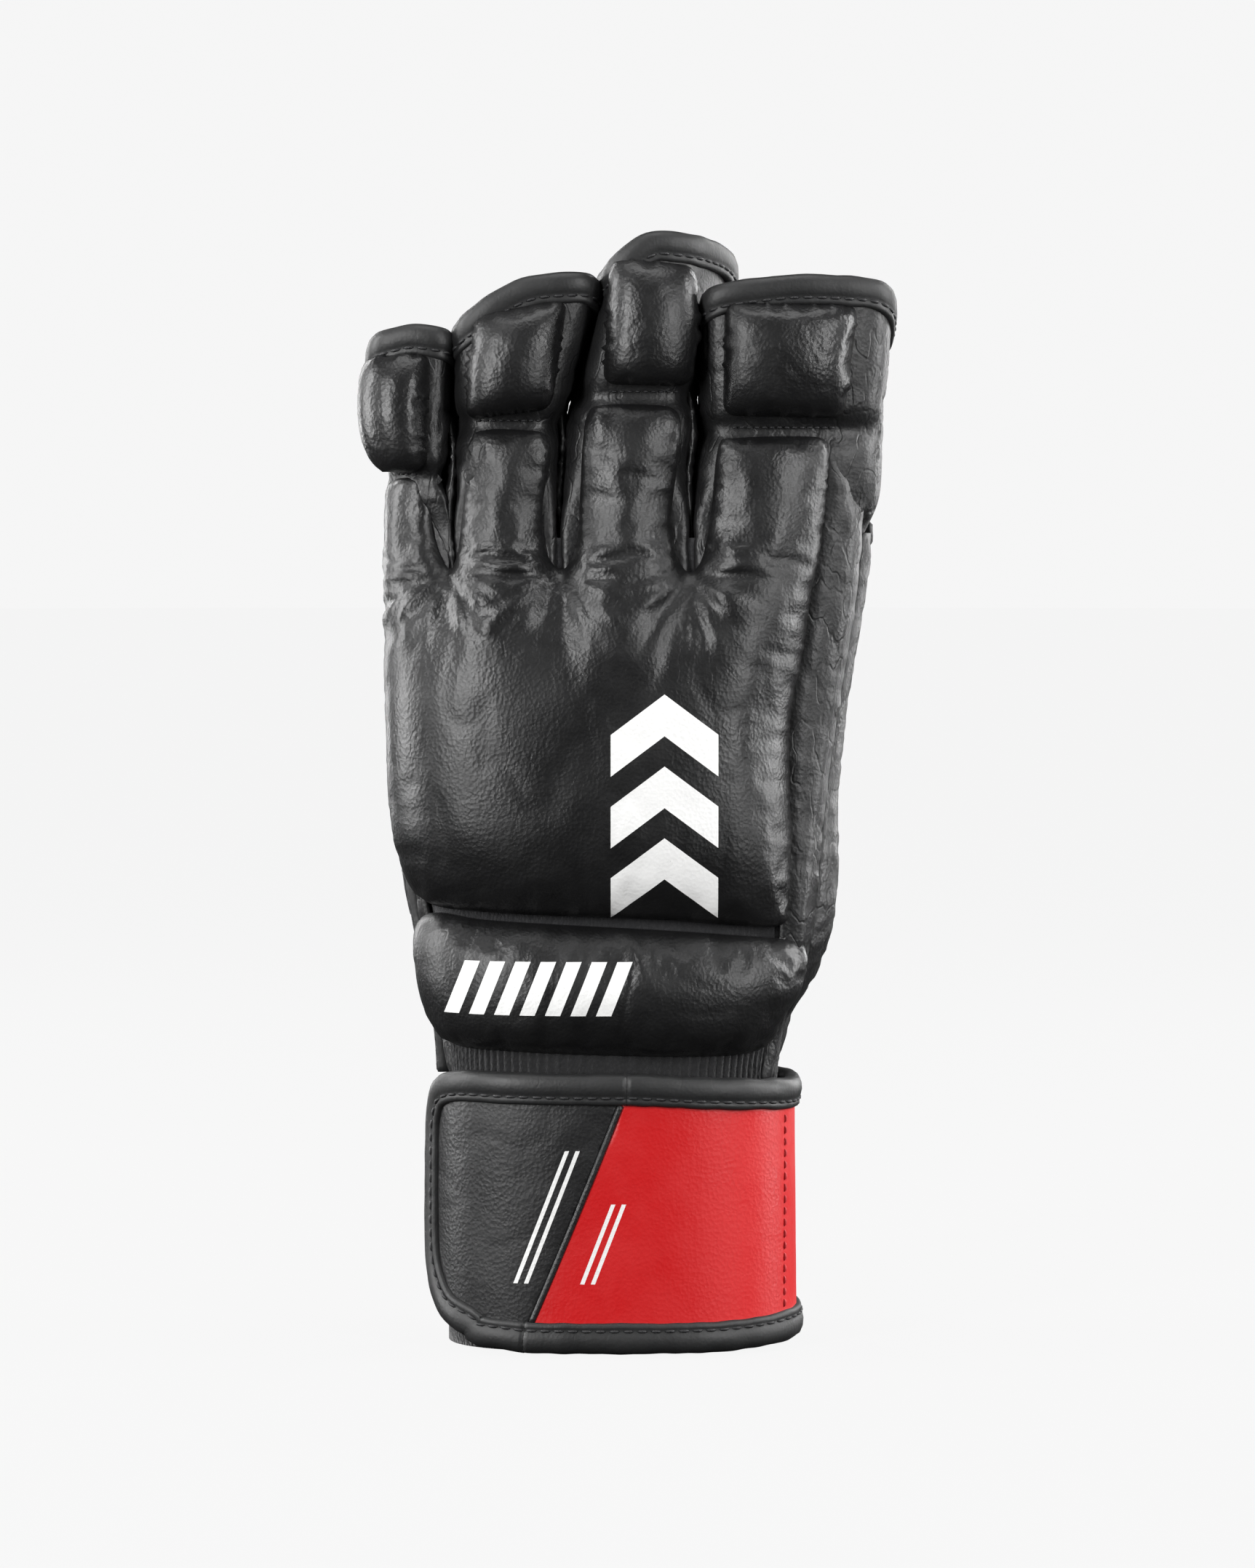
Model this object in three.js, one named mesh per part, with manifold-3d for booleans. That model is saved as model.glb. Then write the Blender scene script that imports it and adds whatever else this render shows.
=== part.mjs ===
// Open-finger grappling glove for the left hand, built from separate panels, pads, foam cores, bindings and a
// hook-and-loop wrist strap. Millimetres. The glove stands on its cuff: +Z runs to the fingertips, -Y is the back of
// the hand, +Y the palm and +X the thumb side. It is built round the axis of the cuff, then moved so that the origin
// lies on the ground below the centre of its overall box.
import * as THREE from "three";
import { mergeVertices } from "three/addons/utils/BufferGeometryUtils.js";
import Module from "manifold-3d";

const wasm = await Module();
wasm.setup();

// Driving dimensions.
const GAP = 0.4; // air between neighbouring pieces
const LEATHER = 1.5; // thickness of one leather panel
const BINDING_TALL = 7.4; // how far an edge binding reaches over the edge it covers
const BINDING_THICK = 4.2;
const SQUARENESS = 2.6; // exponent of the hand's cross-section: 2 is an ellipse, larger is squarer
const CUFF_TOP = 61.5; // upper edge of the strap
const HAND_BOTTOM = 68; // lowest edge of everything above the wrist fold
const PAD_BOTTOM = 100; // lower edge of the back pad
const ROLL_TOP = 95; // upper edge of the wrist roll
const PAD_HEIGHT = 14; // foam and leather over the knuckles
const ROLL_HEIGHT = 12;
const EDGE_HEIGHT = 2.6; // height of a pad at its sewn edge
const FINGER_PAD_HEIGHT = 11;
const FINGER_LEAN = THREE.MathUtils.degToRad(6); // the stalls rest curled a little towards the palm
const STALL_FRONT = -15; // y of a finger stall's dorsal wall
const STALL_BACK = 12; // y of its palm wall
const PIVOT_Y = 6; // the fingers fold about lines this far to the palm side
const SLIT_WIDTH = 4;
const BACK_CROTCH = 176; // z of the bottom of the slits between the fingers, on the back
const PALM_CROTCH = 189; // and on the palm
const BACK_CLEARANCE = 3; // how far the back's panels stop below a finger's fold
const PALM_CLEARANCE = 12; // and the palm's, where the fingers fold
const REACH = 120; // further than any piece lies from the cuff's axis
const ABOVE = 320; // higher than any piece

// The space inside the glove: height, centre and half width in x, half depth in y.
const STATIONS = [
  { z: 0, cx: 0, a: 35.5, b: 21.5 },
  { z: 62, cx: 0.5, a: 35, b: 21.5 },
  { z: 72, cx: 1, a: 36.5, b: 21.5 },
  { z: 90, cx: 3, a: 42, b: 20.5 },
  { z: 120, cx: 3, a: 45.5, b: 19 },
  { z: 150, cx: 3.5, a: 47.5, b: 18 },
  { z: 190, cx: 4.5, a: 50, b: 17 },
  { z: 260, cx: 4.5, a: 50, b: 17 },
];

// One entry per finger: x range of its stall and of its pad, z of the fold below the pad and of the rim on the back.
const FINGERS = [
  { name: "little", left: -56.5, right: -36.4, padLeft: -54.5, padRight: -41.8, fold: 197, top: 230 },
  { name: "ring", left: -35.6, right: -6.4, padLeft: -31.4, padRight: -12.8, fold: 210, top: 241 },
  { name: "middle", left: -5.6, right: 21, padLeft: -1.2, padRight: 18.6, fold: 216, top: 251 },
  { name: "index", left: 21.8, right: 63, padLeft: 25, padRight: 55, fold: 207, top: 241 },
];
const SLITS = [-36, -11.5, 18.6]; // x of the three slits between the fingers

// Columns of the hand's panels, as x at the fingers' roots. A pair of columns lies just inside each slit's edges.
const SLIT_COLUMN = SLIT_WIDTH / 2 - 0.1;
const ROOT_Z = 190;
const COLUMN_EDGES = [-43.5, ...SLITS.flatMap((x) => [x - SLIT_COLUMN, x + SLIT_COLUMN]), 50.5];
const COLUMN_COUNTS = [2, 1, 4, 1, 4, 1, 5]; // columns in each stretch between two edges
const COLUMNS = COLUMN_COUNTS.flatMap((count, k) =>
  Array.from({ length: count }, (_, i) => THREE.MathUtils.lerp(COLUMN_EDGES[k], COLUMN_EDGES[k + 1], i / count)),
).concat(COLUMN_EDGES.at(-1));

const colours = {
  black_leather: [0x1a1a1b, 0.42],
  binding: [0x2b2b2c, 0.6],
  red_leather: [0xc4161c, 0.4],
  textile: [0x101012, 0.9],
  foam: [0x3a3a3c, 0.95],
  mesh: [0x0d0d0e, 0.85],
  hook_and_loop: [0x0b0b0d, 1.0],
  grey_leather: [0x4a4a4c, 0.35],
};
const materials = Object.fromEntries(
  Object.entries(colours).map(([name, [color, roughness]]) => [
    name,
    new THREE.MeshStandardMaterial({ name, color, roughness, metalness: 0 }),
  ]),
);

const glove = new THREE.Group();

// Adds a geometry to the glove, or to a group of it, as a named piece.
function piece(name, geometry, material, parent = glove) {
  const mesh = new THREE.Mesh(geometry, materials[material]);
  mesh.name = name;
  parent.add(mesh);
  return mesh;
}

// Hand space at height z, smoothly interpolated between the stations.
function station(z) {
  const last = STATIONS.length - 1;
  let i = STATIONS.findIndex((s, k) => k === last - 1 || z < STATIONS[k + 1].z);
  i = Math.max(0, i);
  const [lower, upper] = [STATIONS[i], STATIONS[i + 1]];
  const t = THREE.MathUtils.smoothstep(z, lower.z, upper.z);
  const mix = (key) => THREE.MathUtils.lerp(lower[key], upper[key], t);
  return { cx: mix("cx"), a: mix("a"), b: mix("b") };
}

function superellipse(degrees, a, b, power) {
  const angle = THREE.MathUtils.degToRad(degrees);
  const part = (v) => Math.sign(v) * Math.abs(v) ** (2 / power);
  return [a * part(Math.cos(angle)), b * part(Math.sin(angle))];
}

// A point on the skin round the hand space. 0 degrees is the thumb side, 90 the palm, 180 the little finger's side
// and 270 the back. The offset is how far outside the hand space it lies.
function skin(degrees, z, offset) {
  const s = station(z);
  const [x, y] = superellipse(degrees, s.a + offset, s.b + offset, SQUARENESS);
  return new THREE.Vector3(s.cx + x, y, z);
}

// The angle at which the back of the hand space has a given x at height z.
function backAngle(x, z) {
  const s = station(z);
  const share = THREE.MathUtils.clamp((x - s.cx) / s.a, -1, 1);
  const cosine = Math.sign(share) * Math.abs(share) ** (SQUARENESS / 2);
  return 360 - THREE.MathUtils.radToDeg(Math.acos(cosine));
}

// The same for the palm.
const palmAngle = (x, z) => 360 - backAngle(x, z);

// y of the surface a given distance outside the hand space, on the palm side, at x and z.
function palmY(x, z, offset) {
  const s = station(z);
  const share = Math.min(1, Math.abs(x - s.cx) / (s.a + offset));
  return (s.b + offset) * (1 - share ** SQUARENESS) ** (1 / SQUARENESS);
}

// A closed geometry from points and triangles, turned so that its faces point out.
function closed(points, triangles) {
  let volume = 0;
  for (let i = 0; i < triangles.length; i += 3) {
    const [a, b, c] = [0, 1, 2].map((k) => points[triangles[i + k]]);
    volume += a.dot(new THREE.Vector3().crossVectors(b, c));
  }
  const turned = volume > 0 ? triangles : triangles.toReversed();
  const geometry = new THREE.BufferGeometry().setFromPoints(points);
  geometry.setIndex(turned);
  geometry.computeVertexNormals();
  return geometry;
}

// A sheet with thickness: outer(u, v) and inner(u, v) give its two faces for u and v from 0 to 1.
// A wrapped sheet closes on itself in u, as a tube does.
function sheet(columns, rows, outer, inner, wrapped = false) {
  const across = wrapped ? columns : columns + 1;
  const points = [];
  for (const face of [outer, inner])
    for (let j = 0; j <= rows; j++)
      for (let i = 0; i < across; i++) points.push(face(i / columns, j / rows));
  const layer = across * (rows + 1);
  const at = (i, j, side) => side * layer + j * across + (i % across);
  const triangles = [];
  const quad = (a, b, c, d) => triangles.push(a, b, c, a, c, d);
  for (let j = 0; j < rows; j++)
    for (let i = 0; i < columns; i++) {
      quad(at(i, j, 0), at(i + 1, j, 0), at(i + 1, j + 1, 0), at(i, j + 1, 0));
      quad(at(i, j + 1, 1), at(i + 1, j + 1, 1), at(i + 1, j, 1), at(i, j, 1));
    }
  for (let i = 0; i < columns; i++) {
    quad(at(i, 0, 1), at(i + 1, 0, 1), at(i + 1, 0, 0), at(i, 0, 0));
    quad(at(i, rows, 0), at(i + 1, rows, 0), at(i + 1, rows, 1), at(i, rows, 1));
  }
  if (!wrapped)
    for (let j = 0; j < rows; j++) {
      quad(at(0, j, 0), at(0, j + 1, 0), at(0, j + 1, 1), at(0, j, 1));
      quad(at(columns, j, 1), at(columns, j + 1, 1), at(columns, j + 1, 0), at(columns, j, 0));
    }
  return closed(points, triangles);
}

// A bar whose cross-section is a rectangle: path(u) gives its centre and its two half-side vectors.
function bar(steps, path, wrapped = false) {
  const rings = wrapped ? steps : steps + 1;
  const points = [];
  for (let i = 0; i < rings; i++) {
    const { centre, out, up } = path(i / steps);
    for (const [s, t] of [[1, -1], [1, 1], [-1, 1], [-1, -1]])
      points.push(centre.clone().addScaledVector(out, s).addScaledVector(up, t));
  }
  const triangles = [];
  const quad = (a, b, c, d) => triangles.push(a, b, c, a, c, d);
  for (let i = 0; i < steps; i++)
    for (let k = 0; k < 4; k++) {
      const [here, next] = [4 * i, 4 * ((i + 1) % rings)];
      quad(here + k, next + k, next + ((k + 1) % 4), here + ((k + 1) % 4));
    }
  if (!wrapped) {
    quad(0, 1, 2, 3);
    const end = 4 * steps;
    quad(end + 3, end + 2, end + 1, end);
  }
  return closed(points, triangles);
}

function toSolid(geometry) {
  const bare = geometry.clone();
  bare.deleteAttribute("normal");
  bare.deleteAttribute("uv");
  const merged = mergeVertices(bare, 1e-4);
  return new wasm.Manifold(
    new wasm.Mesh({
      numProp: 3,
      vertProperties: merged.attributes.position.array,
      triVerts: new Uint32Array(merged.index.array),
    }),
  );
}

// Cuts each tool out of a geometry.
function cut(geometry, ...tools) {
  let solid = toSolid(geometry);
  for (const tool of tools) solid = solid.subtract(toSolid(tool));
  const mesh = solid.getMesh();
  const left = new THREE.BufferGeometry();
  const position = new THREE.BufferAttribute(new Float32Array(mesh.vertProperties), 3);
  left.setAttribute("position", position);
  left.setIndex(new THREE.BufferAttribute(mesh.triVerts, 1));
  return left;
}

// A prism through the glove in y, from an outline drawn in x and z.
function prism(shape, front, back, curveSegments) {
  const geometry = new THREE.ExtrudeGeometry(shape, { depth: back - front, bevelEnabled: false, curveSegments });
  geometry.rotateX(Math.PI / 2); // drawn x, y and depth become x, z and -y
  geometry.translate(0, back, 0);
  return geometry;
}

// How full a pad is at a share of its width: 0 at both ends, 1 in the middle, steep at the ends.
const fullness = (share) => (1 - Math.abs(2 * share - 1) ** 4) ** 0.6;

// Fullness that rises over a fixed distance from each end of a long pad.
function shoulder(distance, run) {
  const t = THREE.MathUtils.clamp(distance / run, 0, 1);
  return Math.sqrt(1 - (1 - t) ** 2);
}

// Cuff: inner sleeve, loop patch and the red band that wraps the palm side of the wrist.

const SLEEVE = { inner: 0.2, outer: 2 };
const WRAP = { inner: 2.9, outer: 4.6 };
const LOOP = { inner: 2.9, outer: 4 };
const HOOK = { inner: 4.8, outer: 5.9 };
const FLAP = { inner: 6.5, outer: 8.4 };
const PANEL_LOW = 8; // the strap's leather panels sit between its two bindings
const PANEL_HIGH = CUFF_TOP - 8;
const WRAP_THUMB_END = 1; // angle at which the wrap starts, on the thumb side
const WRAP_TOP_END = 160; // angle at which its slanting end leaves the top binding
const WRAP_BOTTOM_END = 140; // and the bottom binding
const FLAP_START = 355; // angle at which the flap is folded over the thumb side
const LOOP_END = 318; // angle at which the loop patch ends, on the back
const STRAP_TOP_MIDDLE = CUFF_TOP - BINDING_TALL / 2; // z of the middle of the strap's upper binding
const STRAP_LOW_MIDDLE = BINDING_TALL / 2 + GAP; // and of its lower binding

function ring(name, low, high, layer, from, to, columns, material) {
  const wrapped = to(0) - from(0) === 360;
  const face = (offset) => (u, v) => {
    const z = THREE.MathUtils.lerp(low, high, v);
    return skin(THREE.MathUtils.lerp(from(v), to(v), u), z, offset);
  };
  const geometry = sheet(columns, 1, face(layer.outer), face(layer.inner), wrapped);
  return piece(name, geometry, material);
}

const fixed = (value) => () => value;

// A binding folded over an edge of the strap, as a bar round part of the wrist.
function strapBinding(name, z, middle, from, to, steps) {
  const geometry = bar(steps, (u) => {
    const degrees = THREE.MathUtils.lerp(from, to, u);
    const centre = skin(degrees, z, middle);
    const out = skin(degrees, z, middle + 1).sub(centre);
    return {
      centre,
      out: out.multiplyScalar(BINDING_THICK / 2),
      up: new THREE.Vector3(0, 0, BINDING_TALL / 2 - GAP),
    };
  });
  return piece(name, geometry, "binding");
}

function buildCuff() {
  ring("cuff_sleeve", 0, CUFF_TOP + 0.5, SLEEVE, fixed(0), fixed(360), 32, "textile");
  const slant = (v) => THREE.MathUtils.lerp(WRAP_BOTTOM_END, WRAP_TOP_END, v);
  ring("strap_wrap", PANEL_LOW, PANEL_HIGH, WRAP, fixed(WRAP_THUMB_END), slant, 18, "red_leather");
  const loopStart = (v) => slant(v) + 1.5;
  ring("loop_patch", PANEL_LOW, PANEL_HIGH, LOOP, loopStart, fixed(LOOP_END), 18, "hook_and_loop");
  const middle = SLEEVE.outer + 2 * GAP + BINDING_THICK / 2;
  const topEnd = WRAP_TOP_END + 8; // the slant carries on up through the binding
  strapBinding("strap_wrap_binding_top", STRAP_TOP_MIDDLE, middle, WRAP_THUMB_END, topEnd, 18);
  strapBinding("strap_wrap_binding_bottom", STRAP_LOW_MIDDLE, middle, WRAP_THUMB_END, WRAP_BOTTOM_END, 16);
}

// Strap flap: the red panel that hinges at the thumb side, and the black end that peels off first. Both are cut
// from one band by a slanting plane along the seam between them.

const SEAM = { low: -16.5, high: 0.5, lowZ: 8.5, highZ: 53 }; // x and z of the slanting seam's ends
const FLAP_MIDDLE = (FLAP.inner + FLAP.outer) / 2;
const TIP_ANGLE = 197; // angle at which the free end stops, at the little finger's side
const TIP_PANEL = TIP_ANGLE + 11; // angle at which its leather panel stops, behind the binding
const HOOK_START = TIP_ANGLE + 13;

// Everything on one side of the slanting seam, as a cutting block.
function seamBlock(side) {
  const slope = (SEAM.high - SEAM.low) / (SEAM.highZ - SEAM.lowZ);
  const xAt = (z) => SEAM.low + slope * (z - SEAM.lowZ) - (side * GAP) / 2;
  const shape = new THREE.Shape([
    new THREE.Vector2(xAt(-REACH), -REACH),
    new THREE.Vector2(xAt(REACH), REACH),
    new THREE.Vector2(side * 2 * REACH, REACH),
    new THREE.Vector2(side * 2 * REACH, -REACH),
  ]);
  return prism(shape, -REACH, REACH, 1);
}

function buildStrapFlap() {
  const face = (offset, from, low, high) => (u, v) =>
    skin(THREE.MathUtils.lerp(from, FLAP_START, u), THREE.MathUtils.lerp(low, high, v), offset);
  const panel = (from, low, high, layer) =>
    sheet(20, 1, face(layer.outer, from, low, high), face(layer.inner, from, low, high));
  const band = panel(TIP_PANEL, PANEL_LOW, PANEL_HIGH, FLAP);
  piece("strap_flap_panel", cut(band, seamBlock(-1)), "red_leather");
  piece("strap_tip_panel", cut(band, seamBlock(1)), "black_leather");
  for (const [name, z] of [["top", STRAP_TOP_MIDDLE], ["bottom", STRAP_LOW_MIDDLE]]) {
    const mesh = strapBinding("strap_flap_binding_" + name, z, FLAP_MIDDLE, TIP_ANGLE, FLAP_START, 20);
    mesh.geometry = cut(mesh.geometry, seamBlock(-1));
  }
  piece("strap_tip_binding", cut(tipBinding(), seamBlock(1)), "binding");
  const hookFace = (offset) => (u, v) => {
    const z = THREE.MathUtils.lerp(PANEL_LOW, PANEL_HIGH, v);
    const seam = SEAM.low + ((SEAM.high - SEAM.low) * (z - SEAM.lowZ)) / (SEAM.highZ - SEAM.lowZ);
    return skin(THREE.MathUtils.lerp(HOOK_START, backAngle(seam - 1.5, z), u), z, offset);
  };
  piece("hook_patch", sheet(12, 1, hookFace(HOOK.outer), hookFace(HOOK.inner)), "hook_and_loop");
}

// The binding round the free end: along the bottom, up round two corners and back along the top.
function tipBinding() {
  const corner = 13; // height over which a corner turns
  const turn = 9; // degrees over which it turns
  const begin = 300; // angle at which the path starts, past the seam that trims it
  const path = [];
  for (let i = 0; i <= 10; i++) path.push([THREE.MathUtils.lerp(begin, TIP_ANGLE + turn, i / 10), STRAP_LOW_MIDDLE]);
  for (let i = 1; i <= 5; i++) {
    const a = (Math.PI / 2) * (i / 5);
    path.push([TIP_ANGLE + turn - turn * Math.sin(a), STRAP_LOW_MIDDLE + corner * (1 - Math.cos(a))]);
  }
  const half = path.map(([degrees, z]) => [degrees, STRAP_TOP_MIDDLE + STRAP_LOW_MIDDLE - z]).reverse();
  const whole = [...path, ...half];
  const centres = whole.map(([degrees, z]) => skin(degrees, z, FLAP_MIDDLE));
  return bar(whole.length - 1, (u) => {
    const i = Math.round(u * (whole.length - 1));
    const [degrees, z] = whole[i];
    const out = skin(degrees, z, FLAP_MIDDLE + 1).sub(centres[i]).normalize();
    const along = centres[Math.min(i + 1, centres.length - 1)].clone().sub(centres[Math.max(i - 1, 0)]);
    const up = new THREE.Vector3().crossVectors(out, along).normalize();
    return {
      centre: centres[i],
      out: out.multiplyScalar(BINDING_THICK / 2),
      up: up.multiplyScalar(BINDING_TALL / 2 - GAP),
    };
  });
}

// Hand: lining, back pad, wrist roll and side gussets. The panels share one set of columns, each at its own angle, so
// that layers lie parallel.

const LINING = { inner: 0.2, outer: 1.2 };
const PANEL = { inner: 2, outer: 3.5 };
const RIM = { inner: PANEL.outer + 2 * GAP, outer: PANEL.outer + 2 * GAP + 1.2 };
const BACK_ANGLES = COLUMNS.map((x) => backAngle(x, ROOT_Z));
const PALM_ANGLES = COLUMNS.map((x) => palmAngle(x, ROOT_Z));
const LINING_ENDS = { little: 184, thumb: 342 }; // angles at which the back's lining stops at the hand's sides
const ROLL_ENDS = { little: 187, thumb: 341 }; // and the wrist roll
const HIGHEST_FOLD = Math.max(...FINGERS.map((finger) => finger.fold));

// z of the edge below a finger's fold at x: the fold's height less a clearance.
function foldBelow(x, clearance) {
  const index = SLITS.findIndex((slit) => x < slit);
  const finger = FINGERS[index < 0 ? FINGERS.length - 1 : index];
  return finger.fold - clearance;
}

// A layer over some of the columns. The offsets of its faces, and its upper edge, may depend on the column.
function layer(angles, low, high, rows, outerOf, innerOf, columns = COLUMNS) {
  const face = (offsetOf) => (u, v) => {
    const i = Math.round(u * (angles.length - 1));
    const z = THREE.MathUtils.lerp(low, high(columns[i]), v);
    return skin(angles[i], z, offsetOf(columns[i], z, v));
  };
  return sheet(angles.length - 1, rows, face(outerOf), face(innerOf));
}

// Everything above the four fingers' folds, as one cutting block with a step at each slit.
function foldTool(clearance, front, back) {
  const levels = FINGERS.map((finger) => finger.fold - clearance);
  const edges = [-REACH, ...SLITS, REACH];
  const steps = levels.flatMap((z, i) => [new THREE.Vector2(edges[i], z), new THREE.Vector2(edges[i + 1], z)]);
  const over = [new THREE.Vector2(REACH, ABOVE), new THREE.Vector2(-REACH, ABOVE)];
  return prism(new THREE.Shape([...steps, ...over]), front, back, 1);
}

function slitTools(bottom, front, back) {
  return SLITS.map((x) => {
    const half = SLIT_WIDTH / 2;
    const shape = new THREE.Shape();
    shape.moveTo(x - half, ABOVE);
    shape.lineTo(x - half, bottom + half);
    shape.absarc(x, bottom + half, half, Math.PI, 2 * Math.PI, false);
    shape.lineTo(x + half, ABOVE);
    return prism(shape, front, back, 3);
  });
}

// Height of the back pad above its base at a column and a height, low at its edges and beside the slits. The columns
// fan out, so the top of the pad lies further from the middle than its base.
const FAN = 1.24;
function backHeight(column, z) {
  const x = STATIONS.at(-1).cx + FAN * (column - STATIONS.at(-1).cx);
  const top = foldBelow(x, BACK_CLEARANCE);
  const rise = shoulder(z - PAD_BOTTOM, 16) * shoulder(top - z, 12);
  const sides = shoulder(column - COLUMNS[0] + 2, 12) * shoulder(COLUMNS.at(-1) + 2 - column, 14);
  const beside = SLITS.map((slit) => shoulder(Math.hypot(x - slit, Math.max(0, BACK_CROTCH - z)), 11));
  return EDGE_HEIGHT + (PAD_HEIGHT - EDGE_HEIGHT) * rise * sides * Math.min(...beside);
}

function buildBack() {
  const slits = slitTools(BACK_CROTCH, -REACH, 0);
  const top = fixed(HIGHEST_FOLD - BACK_CLEARANCE);
  const coverOuter = (x, z) => PANEL.inner + backHeight(x, z);
  const cover = layer(BACK_ANGLES, PAD_BOTTOM, top, 9, coverOuter, (x, z) => coverOuter(x, z) - LEATHER);
  piece("back_pad_cover", cut(cover, foldTool(BACK_CLEARANCE, -REACH, 0), ...slits), "black_leather");

  const foamTop = (x, z) => PANEL.inner + Math.max(0.5, 0.7 * backHeight(x, z) - 3.3);
  const inset = 4;
  const foam = layer(
    BACK_ANGLES.slice(1, -1),
    PAD_BOTTOM + inset,
    top,
    7,
    foamTop,
    () => PANEL.inner,
    COLUMNS.slice(1, -1),
  );
  const wideSlits = SLITS.map((x) => {
    const [tall, below] = [100, 3]; // the foam stays clear of a slit's sides and of its lower end
    const geometry = new THREE.BoxGeometry(SLIT_WIDTH + 6, REACH, tall);
    geometry.translate(x, -REACH / 2, BACK_CROTCH - below + tall / 2);
    return geometry;
  });
  piece("back_pad_foam", cut(foam, foldTool(BACK_CLEARANCE + inset, -REACH, 0), ...wideSlits), "foam");

  const liningAngles = [LINING_ENDS.little, ...BACK_ANGLES, LINING_ENDS.thumb];
  const liningFace = (offset) => (u, v) =>
    skin(liningAngles[Math.round(u * (liningAngles.length - 1))], THREE.MathUtils.lerp(HAND_BOTTOM, top(), v), offset);
  const lining = sheet(liningAngles.length - 1, 5, liningFace(LINING.outer), liningFace(LINING.inner));
  piece("back_lining", cut(lining, foldTool(BACK_CLEARANCE, -REACH, 0), ...slits), "textile");
  buildWristRoll();
}

function buildWristRoll() {
  const angles = [ROLL_ENDS.little, ...BACK_ANGLES, ROLL_ENDS.thumb];
  const share = (i) => i / (angles.length - 1);
  const height = (x, z, v) => {
    const across = Math.sqrt(Math.max(0, 1 - (2 * v - 1) ** 2));
    return EDGE_HEIGHT + (ROLL_HEIGHT - EDGE_HEIGHT) * across * fullness(share(x)) ** 0.7;
  };
  const index = angles.map((_, i) => i); // the roll's columns are numbered rather than placed by x
  const outer = (x, z, v) => PANEL.inner + height(x, z, v);
  const low = HAND_BOTTOM + 0.5;
  const cover = layer(angles, low, fixed(ROLL_TOP), 7, outer, (...at) => outer(...at) - LEATHER, index);
  piece("wrist_roll_cover", cover, "black_leather");
  const foamTop = (...at) => PANEL.inner + Math.max(0.8, 0.8 * height(...at) - 2.4);
  const foam = layer(
    angles.slice(1, -1),
    low + 3,
    fixed(ROLL_TOP - 3),
    5,
    foamTop,
    () => PANEL.inner,
    index.slice(1, -1),
  );
  piece("wrist_roll_foam", foam, "foam");
}

// Side gussets and the narrow walls inside the slits between the fingers.
function buildGussets() {
  const gusset = (from, to, low, high) => {
    const face = (offset) => (u, v) =>
      skin(THREE.MathUtils.lerp(from, to, u), THREE.MathUtils.lerp(low, high, v), offset);
    return sheet(5, 8, face(PANEL.outer), face(PANEL.inner));
  };
  const thumbEdge = BACK_ANGLES.at(-1);
  const littleEdge = BACK_ANGLES[0];
  piece("thumb_side_gusset", gusset(thumbEdge + 12, 360 + PALM_ANGLES.at(-1) - 2, HAND_BOTTOM, 200), "black_leather");
  piece("little_side_gusset", gusset(PALM_ANGLES[0] + 2, littleEdge - 3, 112, 190), "black_leather");
  const names = ["little_ring", "ring_middle", "middle_index"];
  SLITS.forEach((x, i) => {
    const wall = 1;
    const half = SLIT_WIDTH / 2 - GAP;
    const bottom = BACK_CROTCH + SLIT_WIDTH / 2;
    const top = Math.min(FINGERS[i].fold, FINGERS[i + 1].fold) - 5;
    const shape = new THREE.Shape();
    shape.moveTo(x - half, top);
    shape.lineTo(x - half, bottom);
    shape.absarc(x, bottom, half, Math.PI, 2 * Math.PI, false);
    shape.lineTo(x + half, top);
    shape.lineTo(x + half - wall, top);
    shape.lineTo(x + half - wall, bottom);
    shape.absarc(x, bottom, half - wall, 2 * Math.PI, Math.PI, true);
    shape.lineTo(x - half + wall, top);
    piece("slit_wall_" + names[i], prism(shape, -25, -4, 3), "black_leather");
  });
}

// Palm: panel with its openings, mesh window, grip bar and the slit at the wrist.

const MESH = { left: -33, right: 1, low: 90, high: 149, corner: 15 };
const THUMB_HOLE = { x: 26, z: 114, rx: 18, rz: 34 };
const GRIP = { left: -40, right: 41, z: 170.5, half: 7.2, proud: 8 };
const BAND = { left: -41, right: 44, low: 154.5, high: 186.5 };
// The wrist slit runs from its tip on the little finger's side down to the hand's lower edge.
const NOTCH = { tipX: -46, tipZ: 108, lowX: -18, sideX: -70 };

function roundedRectangle(left, right, low, high, corner) {
  const shape = new THREE.Shape();
  shape.moveTo(left + corner, low);
  shape.lineTo(right - corner, low);
  shape.absarc(right - corner, low + corner, corner, -Math.PI / 2, 0, false);
  shape.lineTo(right, high - corner);
  shape.absarc(right - corner, high - corner, corner, 0, Math.PI / 2, false);
  shape.lineTo(left + corner, high);
  shape.absarc(left + corner, high - corner, corner, Math.PI / 2, Math.PI, false);
  shape.lineTo(left, low + corner);
  shape.absarc(left + corner, low + corner, corner, Math.PI, 1.5 * Math.PI, false);
  return shape;
}

function meshShape(grow) {
  const { left, right, low, high, corner } = MESH;
  return roundedRectangle(left - grow, right + grow, low - grow, high + grow, corner + grow);
}

function thumbOval(grow) {
  const shape = new THREE.Shape();
  shape.absellipse(THUMB_HOLE.x, THUMB_HOLE.z, THUMB_HOLE.rx + grow, THUMB_HOLE.rz + grow, 0, 2 * Math.PI);
  return shape;
}

function notchShape(grow) {
  return new THREE.Shape([
    new THREE.Vector2(NOTCH.tipX, NOTCH.tipZ + grow),
    new THREE.Vector2(NOTCH.sideX, HAND_BOTTOM - 10),
    new THREE.Vector2(NOTCH.lowX + grow, HAND_BOTTOM - 10),
  ]);
}

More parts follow.
